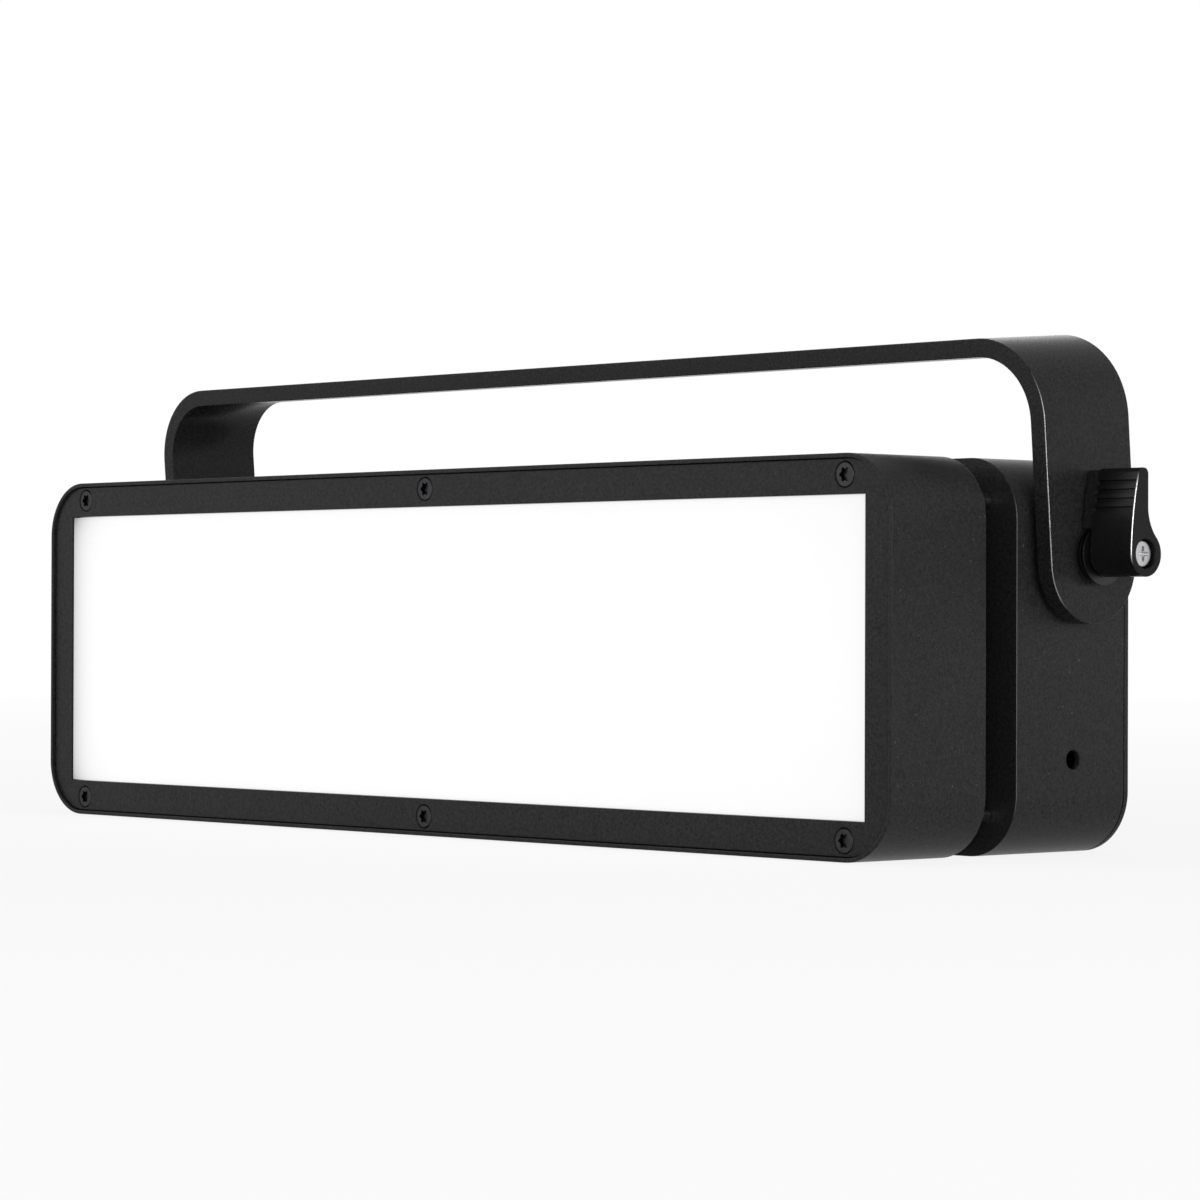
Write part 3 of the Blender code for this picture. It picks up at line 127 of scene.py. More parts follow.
class Finish(Nodes):
    """A material: fixed numbers on its shader, and textures for what varies."""

    def __init__(self, name, slot, fixed):
        self.material = bpy.data.materials.new(name)
        self.material.use_nodes = True
        super().__init__(self.material.node_tree)
        self.shader = self.tree.nodes["Principled BSDF"]
        self.slot = slot
        for socket, value in fixed.items():
            self.shader.inputs[socket].default_value = value

    def wire(self, socket, value):
        feed(self.tree, value, self.shader.inputs[socket])

    def place(self, scale=(1, 1, 1), shift=(0, 0, 0)):
        """Object coordinates, stretched or moved so that a pattern suits its piece."""
        raw = self.node("ShaderNodeTexCoord", {}, {}, "Object")
        return self.node("ShaderNodeMapping", {},
                         {"Vector": raw, "Scale": scale, "Location": shift})

    def grain(self, size, where=None, detail=2.0):
        """Noise whose lumps are about as wide as the given size in metres."""
        return self.node("ShaderNodeTexNoise", {}, {"Vector": where or self.place(),
                                                    "Scale": 1 / size, "Detail": detail})

    def tint(self, colour, shade):
        """A colour made lighter or darker by a Value."""
        return self.node("ShaderNodeMix", {"data_type": "RGBA", "blend_type": "MULTIPLY"},
                         {0: 1.0, 6: (*colour, 1.0), 7: shade}, 2)

    def surface(self, colour, shade, roughness):
        """A colour, lighter and darker in places, and how rough it is."""
        self.wire("Base Color", self.tint(colour, shade))
        self.wire("Roughness", roughness)

    def painted_edge_highlight(self):
        """Painted highlight: 1 on the rounded edges that hand_over marks on each piece, 0
        elsewhere.
        """
        return self.node("ShaderNodeAttribute", {"attribute_name": "painted_edge_highlight"}, {}, "Fac")

    def emboss(self, height, depth, strength=1.0):
        """Bump from a Value between 0 and 1, at most the given depth in metres."""
        self.wire("Normal", self.node("ShaderNodeBump", {}, {"Height": height, "Distance": depth,
                                                             "Strength": strength}))

# %% [markdown]
# ## Powder coat
#
# Both boxes, the bezel and the rear cover are aluminium sheet with a black powder coat. Powder
# melts into a skin with a fine orange peel about a millimetre across, and single grains stay
# proud of it. Under soft light that reads as a faint speckle, never as a flat black. The yoke has
# a smoother grade of the same coat. Chosen front edges get a painted highlight, a lighter, glossier
# and metallic band: each piece carries a number on its rounded edges that says how much, and noise
# breaks it up.

# %% Coats for the boxes and the yoke
COAT_BLACK = (0.0185, 0.0185, 0.0188)
PROUD_SIZE, PROUD_LEVEL = 0.0011, 0.87


def powder_coat(name, slot, roughness, peel_size, depth):
    coat = Finish(name, slot, {"Specular IOR Level": 0.09})
    peel = coat.grain(peel_size)
    speck = coat.grain(peel_size * 0.5, detail=1.0)
    proud = coat.grain(PROUD_SIZE, detail=0.0) > PROUD_LEVEL
    cloud = coat.grain(0.05)
    # Painted highlight: lighter, glossier and metallic along the marked front edges.
    coat_highlight = coat.painted_edge_highlight() * (0.55 + 0.9 * coat.grain(0.004, detail=3.0)).least(1.0)
    shade = 1.3 * peel + 1.3 * speck + 0.3 * cloud - 0.45 + 2.4 * proud + 17.0 * coat_highlight
    coat.surface(COAT_BLACK, shade, roughness + 0.14 * (peel - 0.5) - 0.2 * coat_highlight)
    coat.wire("Metallic", coat_highlight)
    coat.emboss(0.6 * peel + 0.4 * speck, depth)
    return coat


box_coat = powder_coat("box_powder_coat", "black_case", 0.38, 0.0012, 0.00007)
bar_coat = powder_coat("yoke_powder_coat", "black_bar", 0.27, 0.0010, 0.00004)
print("powder coats:", box_coat.material.name, "and", bar_coat.material.name)

# %% [markdown]
# ## Black moulded plastic
#
# The levers, the fittings and the knob are glass-filled nylon. Its mould was spark-eroded, which
# leaves an even, very fine grain, and the filler gives slow changes in gloss. Lever grips are
# polished by hands, so they are glossier than the fittings.

# %% Nylon in two grades
def nylon(name, roughness, depth):
    plastic = Finish(name, "black_plastic", {"Specular IOR Level": 0.08})
    spark = plastic.grain(0.0005, detail=3.0)
    flow = plastic.grain(0.012)
    # Painted highlight: the grip's marked front edge turns lighter and metallic.
    grip_highlight = plastic.painted_edge_highlight()
    plastic.surface((0.0092, 0.0092, 0.0094), 0.5 + 0.4 * flow + 0.7 * spark + 65.0 * grip_highlight,
                    roughness + 0.16 * (flow - 0.5) + 0.1 * (spark - 0.5))
    plastic.wire("Metallic", grip_highlight)
    plastic.emboss(spark, depth)
    return plastic


grip_nylon = nylon("grip_nylon", 0.28, 0.00002)
fitting_nylon = nylon("fitting_nylon", 0.48, 0.00004)
print("nylon:", grip_nylon.material.name, "and", fitting_nylon.material.name)

# %% [markdown]
# ## Turned and plated metal
#
# Washers, studs and screws are turned on a lathe, which leaves rings round their own axis. All
# clamp parts share the yoke's axis, so the distance from that axis drives the rings, and noise in
# one dimension makes each ring differ from the next. Screws and spacers elsewhere are too small
# for rings to show, so plain mottling stands for their oxide or plating.

# %% Zinc plate and black oxide, turned round the yoke's axis
AXIS_Z = 0.0955
RINGS_PER_METRE = 6000.0


def turned(name, slot, colour, roughness):
    metal = Finish(name, slot, {"Metallic": 1.0})
    spoke = metal.place(scale=(0, 1, 1), shift=(0, 0, -AXIS_Z))
    radius = metal.node("ShaderNodeVectorMath", {"operation": "LENGTH"}, {0: spoke}, "Value")
    rings = metal.node("ShaderNodeTexNoise", {"noise_dimensions": "1D"},
                       {"W": radius, "Scale": RINGS_PER_METRE})
    film = metal.grain(0.004)
    metal.surface(colour, 0.78 + 0.25 * film + 0.1 * rings,
                  roughness + 0.16 * rings + 0.1 * film)
    metal.emboss(rings, 0.00002, 0.6)
    return metal


zinc = turned("turned_zinc", "steel", (0.52, 0.52, 0.53), 0.2)
turned_oxide = turned("turned_black_oxide", "black_steel", (0.036, 0.036, 0.037), 0.22)
print("turned finishes, rings about", round(1000 / RINGS_PER_METRE, 2), "mm apart")

# %% Plating and oxide on small metal parts
def plating(name, slot, colour, roughness, lump):
    metal = Finish(name, slot, {"Metallic": 1.0})
    mottle = metal.grain(lump)
    pits = metal.grain(lump / 6)
    metal.surface(colour, 0.7 + 0.45 * mottle + 0.15 * pits,
                  roughness + 0.2 * (mottle - 0.5) + 0.1 * (pits - 0.5))
    metal.emboss(pits, 0.00002, 0.5)
    return metal


oxide = plating("black_oxide", "black_steel", (0.032, 0.032, 0.034), 0.34, 0.003)
# Bright steel colour on the black oxide spacers: a painted glint.
glint_oxide = plating("oxide_with_painted_glint", "black_steel", (0.62, 0.62, 0.63), 0.18, 0.003)
nickel = plating("bright_nickel", "steel", (0.70, 0.68, 0.64), 0.24, 0.004)
print("plated finishes:", oxide.material.name, nickel.material.name)

# %% [markdown]
# ## The lit opal window
#
# The diffuser is a sheet of opal acrylic in front of the LEDs. It glows almost evenly, with a
# painted shade that darkens it towards its edges, most of all at the far left end and in its
# corners. Distance to each edge, through an exponential, gives that painted shade. The panel also
# takes room light, so its own colour stays a real opal white.

# %% Opal acrylic with painted shade at its edges
WINDOW_WIDTH, WINDOW_HEIGHT = 0.4246, 0.1006
HEAD_MIDDLE = 0.063

opal = Finish("lit_opal", "opal", {"Roughness": 0.42, "Emission Strength": 0.74})
split = opal.node("ShaderNodeSeparateXYZ", {}, {0: opal.place()}, "X")
spots = split.socket.node.outputs
along, up = Value(opal.tree, spots["X"]), Value(opal.tree, spots["Z"])
from_left = along + WINDOW_WIDTH / 2
from_right = WINDOW_WIDTH / 2 - along
from_top = HEAD_MIDDLE + WINDOW_HEIGHT / 2 - up
from_foot = up - (HEAD_MIDDLE - WINDOW_HEIGHT / 2)
# Painted shade: the glow darkens towards each edge, most at the left end and corners.
painted_edge_shade = (0.52 * (from_left * -182.0).exp() + 0.07 * (from_right * -400.0).exp()
        + 0.04 * (from_right * -40.0).exp() + 0.12 * (from_top * -900.0).exp()
        + 0.06 * (from_top * -45.0).exp() + 0.08 * (from_foot * -900.0).exp()
        + 0.04 * (from_foot * -45.0).exp()
        + 0.54 * (from_left * -107.0 + from_top * -200.0).exp()
        + 0.32 * (from_left * -107.0 + from_foot * -200.0).exp())
haze = opal.grain(0.03)
opal.wire("Emission Color", opal.tint((1.0, 1.0, 1.0), 1.0 - painted_edge_shade))
opal.wire("Base Color", opal.tint((0.30, 0.30, 0.30), 0.96 + 0.08 * haze))
opal.emboss(opal.grain(0.0012), 0.00001, 0.4)
print("window", WINDOW_WIDTH * 1000, "x", WINDOW_HEIGHT * 1000, "mm")

# %% [markdown]
# ## Finishes inside the lamp
#
# These pieces sit behind the diffuser and the rear cover. They still get their real finish,
# because the lamp may be taken apart: painted reflector, circuit boards with copper under green
# lacquer, extruded aluminium with its draw lines, and a rubber lead.

# %% White paint, boards, aluminium and rubber
paint = Finish("reflector_paint", "white_reflector", {})
orange_peel = paint.grain(0.0015)
paint.surface((0.84, 0.84, 0.83), 0.95 + 0.1 * paint.grain(0.02), 0.5 + 0.2 * orange_peel)
paint.emboss(orange_peel, 0.00006)

lacquer = Finish("board_lacquer", "board", {"Coat Roughness": 0.2})
tracks = lacquer.node("ShaderNodeTexBrick", {"offset": 0.5, "squash": 1.0},
                      {"Vector": lacquer.node("ShaderNodeMapping",
                                              {}, {"Vector": lacquer.place(),
                                                   "Rotation": (math.pi / 2, 0, 0)}),
                       "Scale": 90.0, "Mortar Size": 0.03, "Color1": (0.012, 0.075, 0.035, 1),
                       "Color2": (0.016, 0.095, 0.045, 1), "Mortar": (0.03, 0.16, 0.07, 1)})
lacquer.wire("Base Color", tracks)
lacquer.wire("Roughness", 0.28 + 0.2 * lacquer.grain(0.006))
lacquer.emboss(lacquer.grain(0.002), 0.00003)

drawn = Finish("drawn_aluminium", "aluminium", {"Metallic": 1.0})
lines = drawn.grain(0.0004, drawn.place(scale=(1, 1, 0.01)))
drawn.surface((0.74, 0.75, 0.76), 0.8 + 0.3 * lines, 0.3 + 0.25 * lines)
drawn.emboss(lines, 0.00003)

rubber = Finish("lead_rubber", "lead_rubber", {"Specular IOR Level": 0.3})
bloom = rubber.grain(0.004)
rubber.surface((0.014, 0.014, 0.015), 0.8 + 0.4 * bloom, 0.6 + 0.2 * bloom)
rubber.emboss(rubber.grain(0.0008), 0.00004)

smoke = Finish("smoked_acrylic", "smoked_window", {"Coat Weight": 1.0, "Coat Roughness": 0.03})
smoke.surface((0.012, 0.012, 0.016), 0.8 + 0.4 * smoke.grain(0.01),
              0.06 + 0.1 * smoke.grain(0.02))
smoke.emboss(smoke.grain(0.015), 0.00002, 0.3)

ink = Finish("printed_white", "white_reflector", {})
ink.surface((0.62, 0.62, 0.61), 0.85 + 0.3 * ink.grain(0.0008), 0.5 + 0.2 * ink.grain(0.002))
print("finishes inside: paint, lacquer, aluminium, rubber, acrylic, print")

# %% [markdown]
# ## A small workshop
#
# Each piece is modelled lying flat: x to the right, y up and z towards whoever looks at it. Only
# when it is done is its mesh turned into place. That keeps every shape simple: a face, rounded at
# its corners, pulled up, set in and pulled down again, is a box with walls.

# %% Faces to start from, and how to raise and set them in
MM = 0.001


def mm(*points):
    """Points given in millimetres."""
    return [(x * MM, y * MM) for x, y in points]


def sheet(width, height, corner=0.0, steps=8, x=0.0, y=0.0):
    """A face with rounded corners."""
    bm = bmesh.new()
    bmesh.ops.create_grid(bm, x_segments=1, y_segments=1, size=0.5,
                          matrix=Matrix.Diagonal((width, height, 1, 1)))
    if corner:
        bmesh.ops.bevel(bm, geom=bm.verts[:], offset=corner, segments=steps, profile=0.5,
                        affect="VERTICES", material=-1)
        bmesh.ops.remove_doubles(bm, verts=bm.verts, dist=1e-6)
    bmesh.ops.translate(bm, verts=bm.verts, vec=(x, y, 0))
    return bm


def disc(radius, steps=48, x=0.0, y=0.0):
    bm = bmesh.new()
    bmesh.ops.create_circle(bm, cap_ends=True, segments=steps, radius=radius,
                            matrix=Matrix.Translation((x, y, 0)))
    return bm


def pull(bm, faces, height):
    """Extrude faces straight up or down, and return the faces at the far end."""
    closed = any(len(edge.link_faces) > 1 for face in faces for edge in face.edges)
    grown = bmesh.ops.extrude_face_region(bm, geom=faces)["geom"]
    bmesh.ops.translate(bm, verts=[item for item in grown if isinstance(item, bmesh.types.BMVert)],
                        vec=(0, 0, height))
    if closed:
        bmesh.ops.delete(bm, geom=faces, context="FACES_ONLY")
    return [item for item in grown if isinstance(item, bmesh.types.BMFace)]


def set_in(bm, faces, amount):
    """Leave a rim round faces."""
    bmesh.ops.inset_region(bm, faces=faces, thickness=amount, use_even_offset=True)


def block(bm, low, high):
    """Raise a flat shape from one height to another."""
    bmesh.ops.translate(bm, verts=bm.verts, vec=(0, 0, low))
    pull(bm, bm.faces[:], high - low)
    return bm


def slab(width, height, low, high, corner=0, steps=8, y=0):
    """A block on a face with rounded corners, all in millimetres."""
    return block(sheet(width * MM, height * MM, corner * MM, steps, y=y * MM), low * MM, high * MM)

# %% Round a piece's edges, turn a profile on a lathe
def ease(bm, width, steps=2, where=lambda middle: True, angle=40):
    """Round the sharp edges whose middle passes a test."""
    bmesh.ops.recalc_face_normals(bm, faces=bm.faces)
    sharp = [edge for edge in bm.edges if edge.is_manifold
             and edge.calc_face_angle() > math.radians(angle)
             and where((edge.verts[0].co + edge.verts[1].co) / 2)]
    bmesh.ops.bevel(bm, geom=sharp, offset=width, segments=steps, profile=0.5, affect="EDGES",
                    material=-1)


def lathe(profile, steps=64, soft=0.0, ring=False):
    """Turn (radius, height) points round the z axis, their corners rounded first."""
    bm = bmesh.new()
    points = [bm.verts.new((reach, 0, height)) for reach, height in profile]
    for first, second in zip(points, points[1:] + points[:1] if ring else points[1:]):
        bm.edges.new((first, second))
    corners = points if ring else points[1:-1]
    if soft:
        bmesh.ops.bevel(bm, geom=corners, offset=soft, segments=2, profile=0.5,
                        affect="VERTICES", material=-1)
    bmesh.ops.spin(bm, geom=bm.verts[:] + bm.edges[:], cent=(0, 0, 0), axis=(0, 0, 1),
                   angle=math.tau, steps=steps, use_merge=True, use_duplicate=False)
    bmesh.ops.remove_doubles(bm, verts=bm.verts, dist=1e-6)
    return bm

# %% Gather shapes, repeat them, and cut or join one with another
def gather(*shapes):
    """Several shapes in one bmesh."""
    whole = bmesh.new()
    for shape in shapes:
        held = bpy.data.meshes.new("held")
        shape.to_mesh(held)
        whole.from_mesh(held)
        bpy.data.meshes.remove(held)
    return whole


def repeat(shape, spots):
    """The same shape at several (x, y) spots."""
    copies = []
    for x, y in spots:
        copies.append(shape.copy())
        bmesh.ops.translate(copies[-1], verts=copies[-1].verts, vec=(x, y, 0))
    return gather(*copies)


def combine(body, tool, operation="DIFFERENCE"):
    """Cut a tool from a body, or join it, and return the new shape."""
    held = []
    for shape in (body, tool):
        bmesh.ops.recalc_face_normals(shape, faces=shape.faces)
        mesh = bpy.data.meshes.new("held")
        shape.to_mesh(mesh)
        held.append(bpy.data.objects.new("held", mesh))
        bpy.context.scene.collection.objects.link(held[-1])
    boolean = held[0].modifiers.new("tool", "BOOLEAN")
    boolean.operation, boolean.solver, boolean.object = operation, "EXACT", held[1]
    graph = bpy.context.evaluated_depsgraph_get()
    made = bpy.data.meshes.new_from_object(held[0].evaluated_get(graph))
    result = bmesh.new()
    result.from_mesh(made)
    for thing in held:
        mesh = thing.data
        bpy.data.objects.remove(thing)
        bpy.data.meshes.remove(mesh)
    bpy.data.meshes.remove(made)
    return result

# %% Stand a piece in its place and hand it over
TURNS = {"front": 0, "right": 90, "rear": 180, "left": -90}


def facing(side, x, y, z):
    """Matrix that stands a flat piece up so that its top looks towards a side of the lamp."""
    return (Matrix.Translation((x, y, z)) @ Matrix.Rotation(math.radians(TURNS[side]), 4, "Z")
            @ Matrix.Rotation(math.pi / 2, 4, "X"))


# The strongest painted highlight on a piece's edges, then in metres where it starts and stops and
# how wide its band is.
NO_PAINTED_HIGHLIGHT = (0.0, 0.0, 1.0, 1.0)
PAINTED_HIGHLIGHT_BANDS = {"yoke_bar": (0.7, 0.078, 0.17, 0.005), "rear_box": (0.25, 0.012, 0.115, 0.005),
          "front_box": (0.04, 0.02, 0.11, 0.005), "lever_right": (1.0, 0.092, 0.121, 0.0005),
          "lever_left": (1.0, 0.092, 0.121, 0.0005)}


def mark_edges(bm, most, low, high, band):
    """Note how much painted highlight each point takes: rounded front edges, far out, between two
    heights.
    """
    highlight_layer = bm.verts.layers.float.new("painted_edge_highlight")
    reach = max(abs(vert.co.x) for vert in bm.verts)
    widest, fade_up, fade_back = 0.0004, 0.004, 0.002
    for vert in bm.verts:
        narrow = all(2 * face.calc_area() < widest * face.calc_perimeter()
                     for face in vert.link_faces)
        fades = ((abs(vert.co.x) - reach + band) / (0.8 * band), (vert.co.z - low) / fade_up,
                 (high - vert.co.z) / fade_up, -vert.co.y / fade_back)
        vert[highlight_layer] = most * narrow * math.prod(min(max(fade, 0.0), 1.0) for fade in fades)


def hand_over(name, bm, place, finish, body, *stands_for):
    """Turn a shape into place, smooth and dress it, and let it ride on its body."""
    bmesh.ops.remove_doubles(bm, verts=bm.verts, dist=1e-6)
    bmesh.ops.transform(bm, matrix=place, verts=bm.verts)
    bmesh.ops.recalc_face_normals(bm, faces=bm.faces)
    # Which edges take a painted highlight, and how much.
    mark_edges(bm, *PAINTED_HIGHLIGHT_BANDS.get(name, NO_PAINTED_HIGHLIGHT))
    mesh = bpy.data.meshes.new(name)
    bm.to_mesh(mesh)
    bm.free()
    mesh.shade_smooth()
    mesh.set_sharp_from_angle(angle=math.radians(35))
    mesh.materials.append(finish.material)
    piece = bpy.data.objects.new(name, mesh)
    bpy.context.scene.collection.objects.link(piece)
    piece.modifiers.new("even_shading", "WEIGHTED_NORMAL").keep_sharp = True
    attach(piece, body)
    if stands_for:
        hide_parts(*stands_for)

# %% [markdown]
# ## The two boxes
#
# Front and rear box have one outline, 450 by 126 mm with 20 mm corners. Each could be a subdivided
# cube, but a flat face with its corners bevelled keeps the true radius, and setting in and pulling
# down gives walls of the true thickness. Inside, half-round bosses take the screws.

# %% The shared outline and the screws' places
HEAD_WIDTH, HEAD_HEIGHT, HEAD_CORNER = 450 * MM, 126 * MM, 20 * MM
SCREW_X, SCREW_Y = 203.5 * MM, 56.4 * MM
screw_spots = [(x, y) for y in (SCREW_Y, -SCREW_Y) for x in (-SCREW_X, 0.0, SCREW_X)]
spacer_spots = mm((-212.2, 49.4), (212.2, 49.4), (-212.2, -49.4), (212.2, -49.4))
RIM, WALL = 1.4 * MM, 2 * MM

# Where pieces stand along Y, from front to back.
SCREWS_FRONT, BEZEL_SEAT, FRONT_BACK = -81.2 * MM, -79.1 * MM, -40.5 * MM
REAR_FRONT, COVER_SEAT, SCREWS_REAR, COVER_FACE = -26.5 * MM, 24.5 * MM, 26.4 * MM, 26.5 * MM


def head_sheet(smaller=0.0):
    return sheet(HEAD_WIDTH - 2 * smaller, HEAD_HEIGHT - 2 * smaller, HEAD_CORNER - smaller, 22)


def tray(depth, steps_inside):
    """A box open at the top. Each step inside is how far in, then how far down."""
    bm = head_sheet()
    top = pull(bm, bm.faces[:], depth)
    for inward, down in steps_inside:
        set_in(bm, top, inward)
        top = pull(bm, top, -down)
    return bm


def boss_posts(low, high):
    """Round posts at the screws, each with a web to the nearer wall."""
    web_middle = SCREW_Y + 2.3 * MM
    posts = repeat(block(disc(4 * MM, 24), low, high), screw_spots)
    webs = repeat(block(sheet(8 * MM, 6.6 * MM), low, high),
                  [(x, math.copysign(web_middle, y)) for x, y in screw_spots])
    return combine(posts, webs, "UNION")


def box_holes(foot, top, conduit_x):
    """Tools for the screws' blind bores, the spacers' ends and the conduit."""
    return gather(repeat(block(disc(2.3 * MM, 24), foot, top), screw_spots),
                  repeat(block(disc(1.8 * MM, 24), -WALL, 2 * WALL), spacer_spots),
                  block(disc(6.5 * MM, x=conduit_x), -WALL, 2 * WALL))

# %% Front box
FRONT_DEPTH, LEDGE = 42 * MM, 3.7 * MM
CONDUIT_X = 80 * MM

front_box = tray(FRONT_DEPTH, [(RIM, LEDGE), (WALL - RIM, FRONT_DEPTH - LEDGE - WALL)])
ease(front_box, 0.25 * MM, 3, lambda middle: middle.z > FRONT_DEPTH - 0.1 * MM)
ease(front_box, 0.35 * MM, 3, lambda middle: middle.z < 0.1 * MM)
front_box = combine(front_box, boss_posts(24.8 * MM, FRONT_DEPTH - LEDGE - 0.3 * MM), "UNION")
front_box = combine(front_box, box_holes(26.8 * MM, FRONT_DEPTH, CONDUIT_X))
hand_over("front_box", front_box, facing("front", 0, FRONT_BACK, HEAD_MIDDLE), box_coat, "head",
          "front_housing")

# %% Rear box, with the yoke's holes through its sides
REAR_DEPTH = 50.7 * MM
PIVOT_UP, SPARE_UP = AXIS_Z - HEAD_MIDDLE, 0.0305 - HEAD_MIDDLE

rear_box = tray(REAR_DEPTH, [(WALL, REAR_DEPTH - WALL)])
ease(rear_box, 0.25 * MM, 3, lambda middle: middle.z < 0.1 * MM)
ease(rear_box, 0.25 * MM, 2, lambda middle: middle.z > REAR_DEPTH - 0.1 * MM)
rear_box = combine(rear_box, boss_posts(REAR_DEPTH - 11.7 * MM, REAR_DEPTH - 0.3 * MM), "UNION")
rear_box = combine(rear_box, box_holes(REAR_DEPTH - 9.7 * MM, 60 * MM, -CONDUIT_X))


def side_hole(radius, up):
    """A bar across the whole box that flares at both skins, for a hole with a broken edge."""
    reach, lip = HEAD_WIDTH / 2, 0.25 * MM
    bar = lathe([(0, -reach - WALL), (radius + WALL, -reach - WALL + lip), (radius, -reach + lip),
                 (radius, reach - lip), (radius + WALL, reach + WALL - lip), (0, reach + WALL)], 40)
    bmesh.ops.transform(bar, verts=bar.verts, matrix=Matrix.Translation((0, up, -REAR_FRONT))
                        @ Matrix.Rotation(math.pi / 2, 4, "Y"))
    return bar


for radius_of_hole, up_of_hole in ((3.3 * MM, PIVOT_UP), (3.1 * MM, SPARE_UP)):
    rear_box = combine(rear_box, side_hole(radius_of_hole, up_of_hole))
hand_over("rear_box", rear_box, facing("rear", 0, REAR_FRONT, HEAD_MIDDLE), box_coat, "head",
          "rear_housing")
print("rear box", round(REAR_DEPTH * 1000, 1), "mm deep, two holes in each side")

# %% [markdown]
# ## Bezel and its screws
#
# The bezel is a 2.2 mm plate that lies inside the front box's rim, 1.2 mm down, with a sharp
# cornered window. Six countersunk M4 screws with a six-lobed recess hold it. A lathe gives the
# countersink with its small dark ring round each head, and a circle whose points move in and out
# by a cosine gives the six lobes.

# %% Bezel plate
PLATE = 2.2 * MM


def countersinks(thickness):
    """Tools for six countersunk holes in a plate whose face is at the given height."""
    return repeat(lathe([(0, thickness + 1 * MM), (4.3 * MM, thickness + 1 * MM),
                         (4.3 * MM, thickness - 0.3 * MM), (2.5 * MM, thickness - 2.1 * MM),
                         (2.5 * MM, -1 * MM), (0, -1 * MM)], 48), screw_spots)


bezel = head_sheet(RIM + 0.3 * MM)
pull(bezel, bezel.faces[:], PLATE)
ease(bezel, 0.2 * MM, 2)
bezel = combine(bezel, block(sheet(WINDOW_WIDTH, WINDOW_HEIGHT), -1 * MM, 3 * MM))
ease(bezel, 0.2 * MM, 2, lambda middle: middle.z > PLATE - 0.05 * MM
     and abs(middle.x) < WINDOW_WIDTH / 2 + MM and abs(middle.y) < WINDOW_HEIGHT / 2 + MM)
bezel = combine(bezel, countersinks(PLATE))
hand_over("bezel", bezel, facing("front", 0, BEZEL_SEAT, HEAD_MIDDLE), box_coat, "head",
          "front_bezel")
print("bezel border", round((HEAD_WIDTH - WINDOW_WIDTH) * 500, 1), "mm")

# %% Countersunk screws
def lobed_recess(reach, dip, depth):
    """A six-lobed cutter, sunk to a depth below zero."""
    bm = disc(reach, 72)
    for vert in bm.verts:
        swing = math.cos(6 * math.atan2(vert.co.y, vert.co.x))
        vert.co.xy *= 1 - dip * (1 - swing) / 2
    return block(bm, -depth, 1 * MM)


def countersunk_screw(length):
    """Flat head, 90 degree cone, shank with a bevelled tip; zero is the head's face."""
    bm = lathe([(0, 0), (3.65 * MM, 0), (3.8 * MM, -0.15 * MM), (3.8 * MM, -0.25 * MM),
                (2.05 * MM, -2.0 * MM), (2.0 * MM, 0.5 * MM - length), (1.5 * MM, -length),
                (0, -length)], 48)
    return combine(bm, lobed_recess(2.45 * MM, 0.28, 1.3 * MM))


front_screw = countersunk_screw(11.9 * MM)
cover_screw = countersunk_screw(9.9 * MM)
for number, (x, y) in enumerate(screw_spots, start=1):
    hand_over(f"front_screw_{number}", front_screw.copy(),
              facing("front", x, SCREWS_FRONT, HEAD_MIDDLE + y), oxide, "head",
              f"bezel_screw_{number}")
    hand_over(f"rear_screw_{number}", cover_screw.copy(),
              facing("rear", x, SCREWS_REAR, HEAD_MIDDLE + y), oxide, "head",
              f"cover_screw_{number}")
print("screws:", 2 * len(screw_spots))

# %% [markdown]
# ## What stands in the gap
#
# Four turned spacers near the corners hold the boxes 14 mm apart. Their black oxide is coloured
# bright steel, a painted glint, so two of them show as glints in the dark gap. A flanged conduit
# takes the LED lead across. All are lathe work, with the profile's corners rounded before it is
# spun.

# %% Spacers and conduit
spacer = lathe(mm((0, -7), (1.5, -7), (1.5, 0.3), (2.4, 0.3), (2.4, 13.7), (1.5, 13.7), (1.5, 21),
                  (0, 21)), 48, soft=0.2 * MM)
for number, (x, y) in enumerate(spacer_spots, start=1):
    hand_over(f"spacer_{number}", spacer.copy(), facing("rear", x, FRONT_BACK, HEAD_MIDDLE + y),
              glint_oxide, "head", f"standoff_{number}")

conduit = lathe(mm((3.6, -3), (6.2, -3), (6.2, 0.3), (8, 0.3), (8, 13.7), (6.2, 13.7), (6.2, 19),
                   (3.6, 19)), 56, soft=0.3 * MM, ring=True)
hand_over("conduit", conduit, facing("rear", CONDUIT_X, FRONT_BACK, HEAD_MIDDLE),
          fitting_nylon, "head", "link_conduit")
print("spacers:", len(spacer_spots))

# %% [markdown]
# ## The yoke
#
# The yoke is a 40 by 6 mm flat bar, sheared to half-round ends, drilled, its edges broken, and
# then bent twice. It is made here in the same order: the flat bar first, with all its holes and
# edges, cut across at each step of the bends, and then every point is carried round the bends.
# Sweeping a section along a path would leave the round ends and the holes to be added later.

# %% The flat bar
BAR, BAR_THICK = 40 * MM, 6 * MM
BEND_OUTER, ARM_X = 27 * MM, 233.5 * MM
RISE, DROP = 70 * MM, 2 * MM
bend_middle = BEND_OUTER - BAR_THICK / 2
bend_length = bend_middle * math.pi / 2
arm_length = RISE - BEND_OUTER + DROP + BAR / 2
bend_x = ARM_X - BEND_OUTER
bar_length = 2 * (arm_length + bend_length + bend_x)

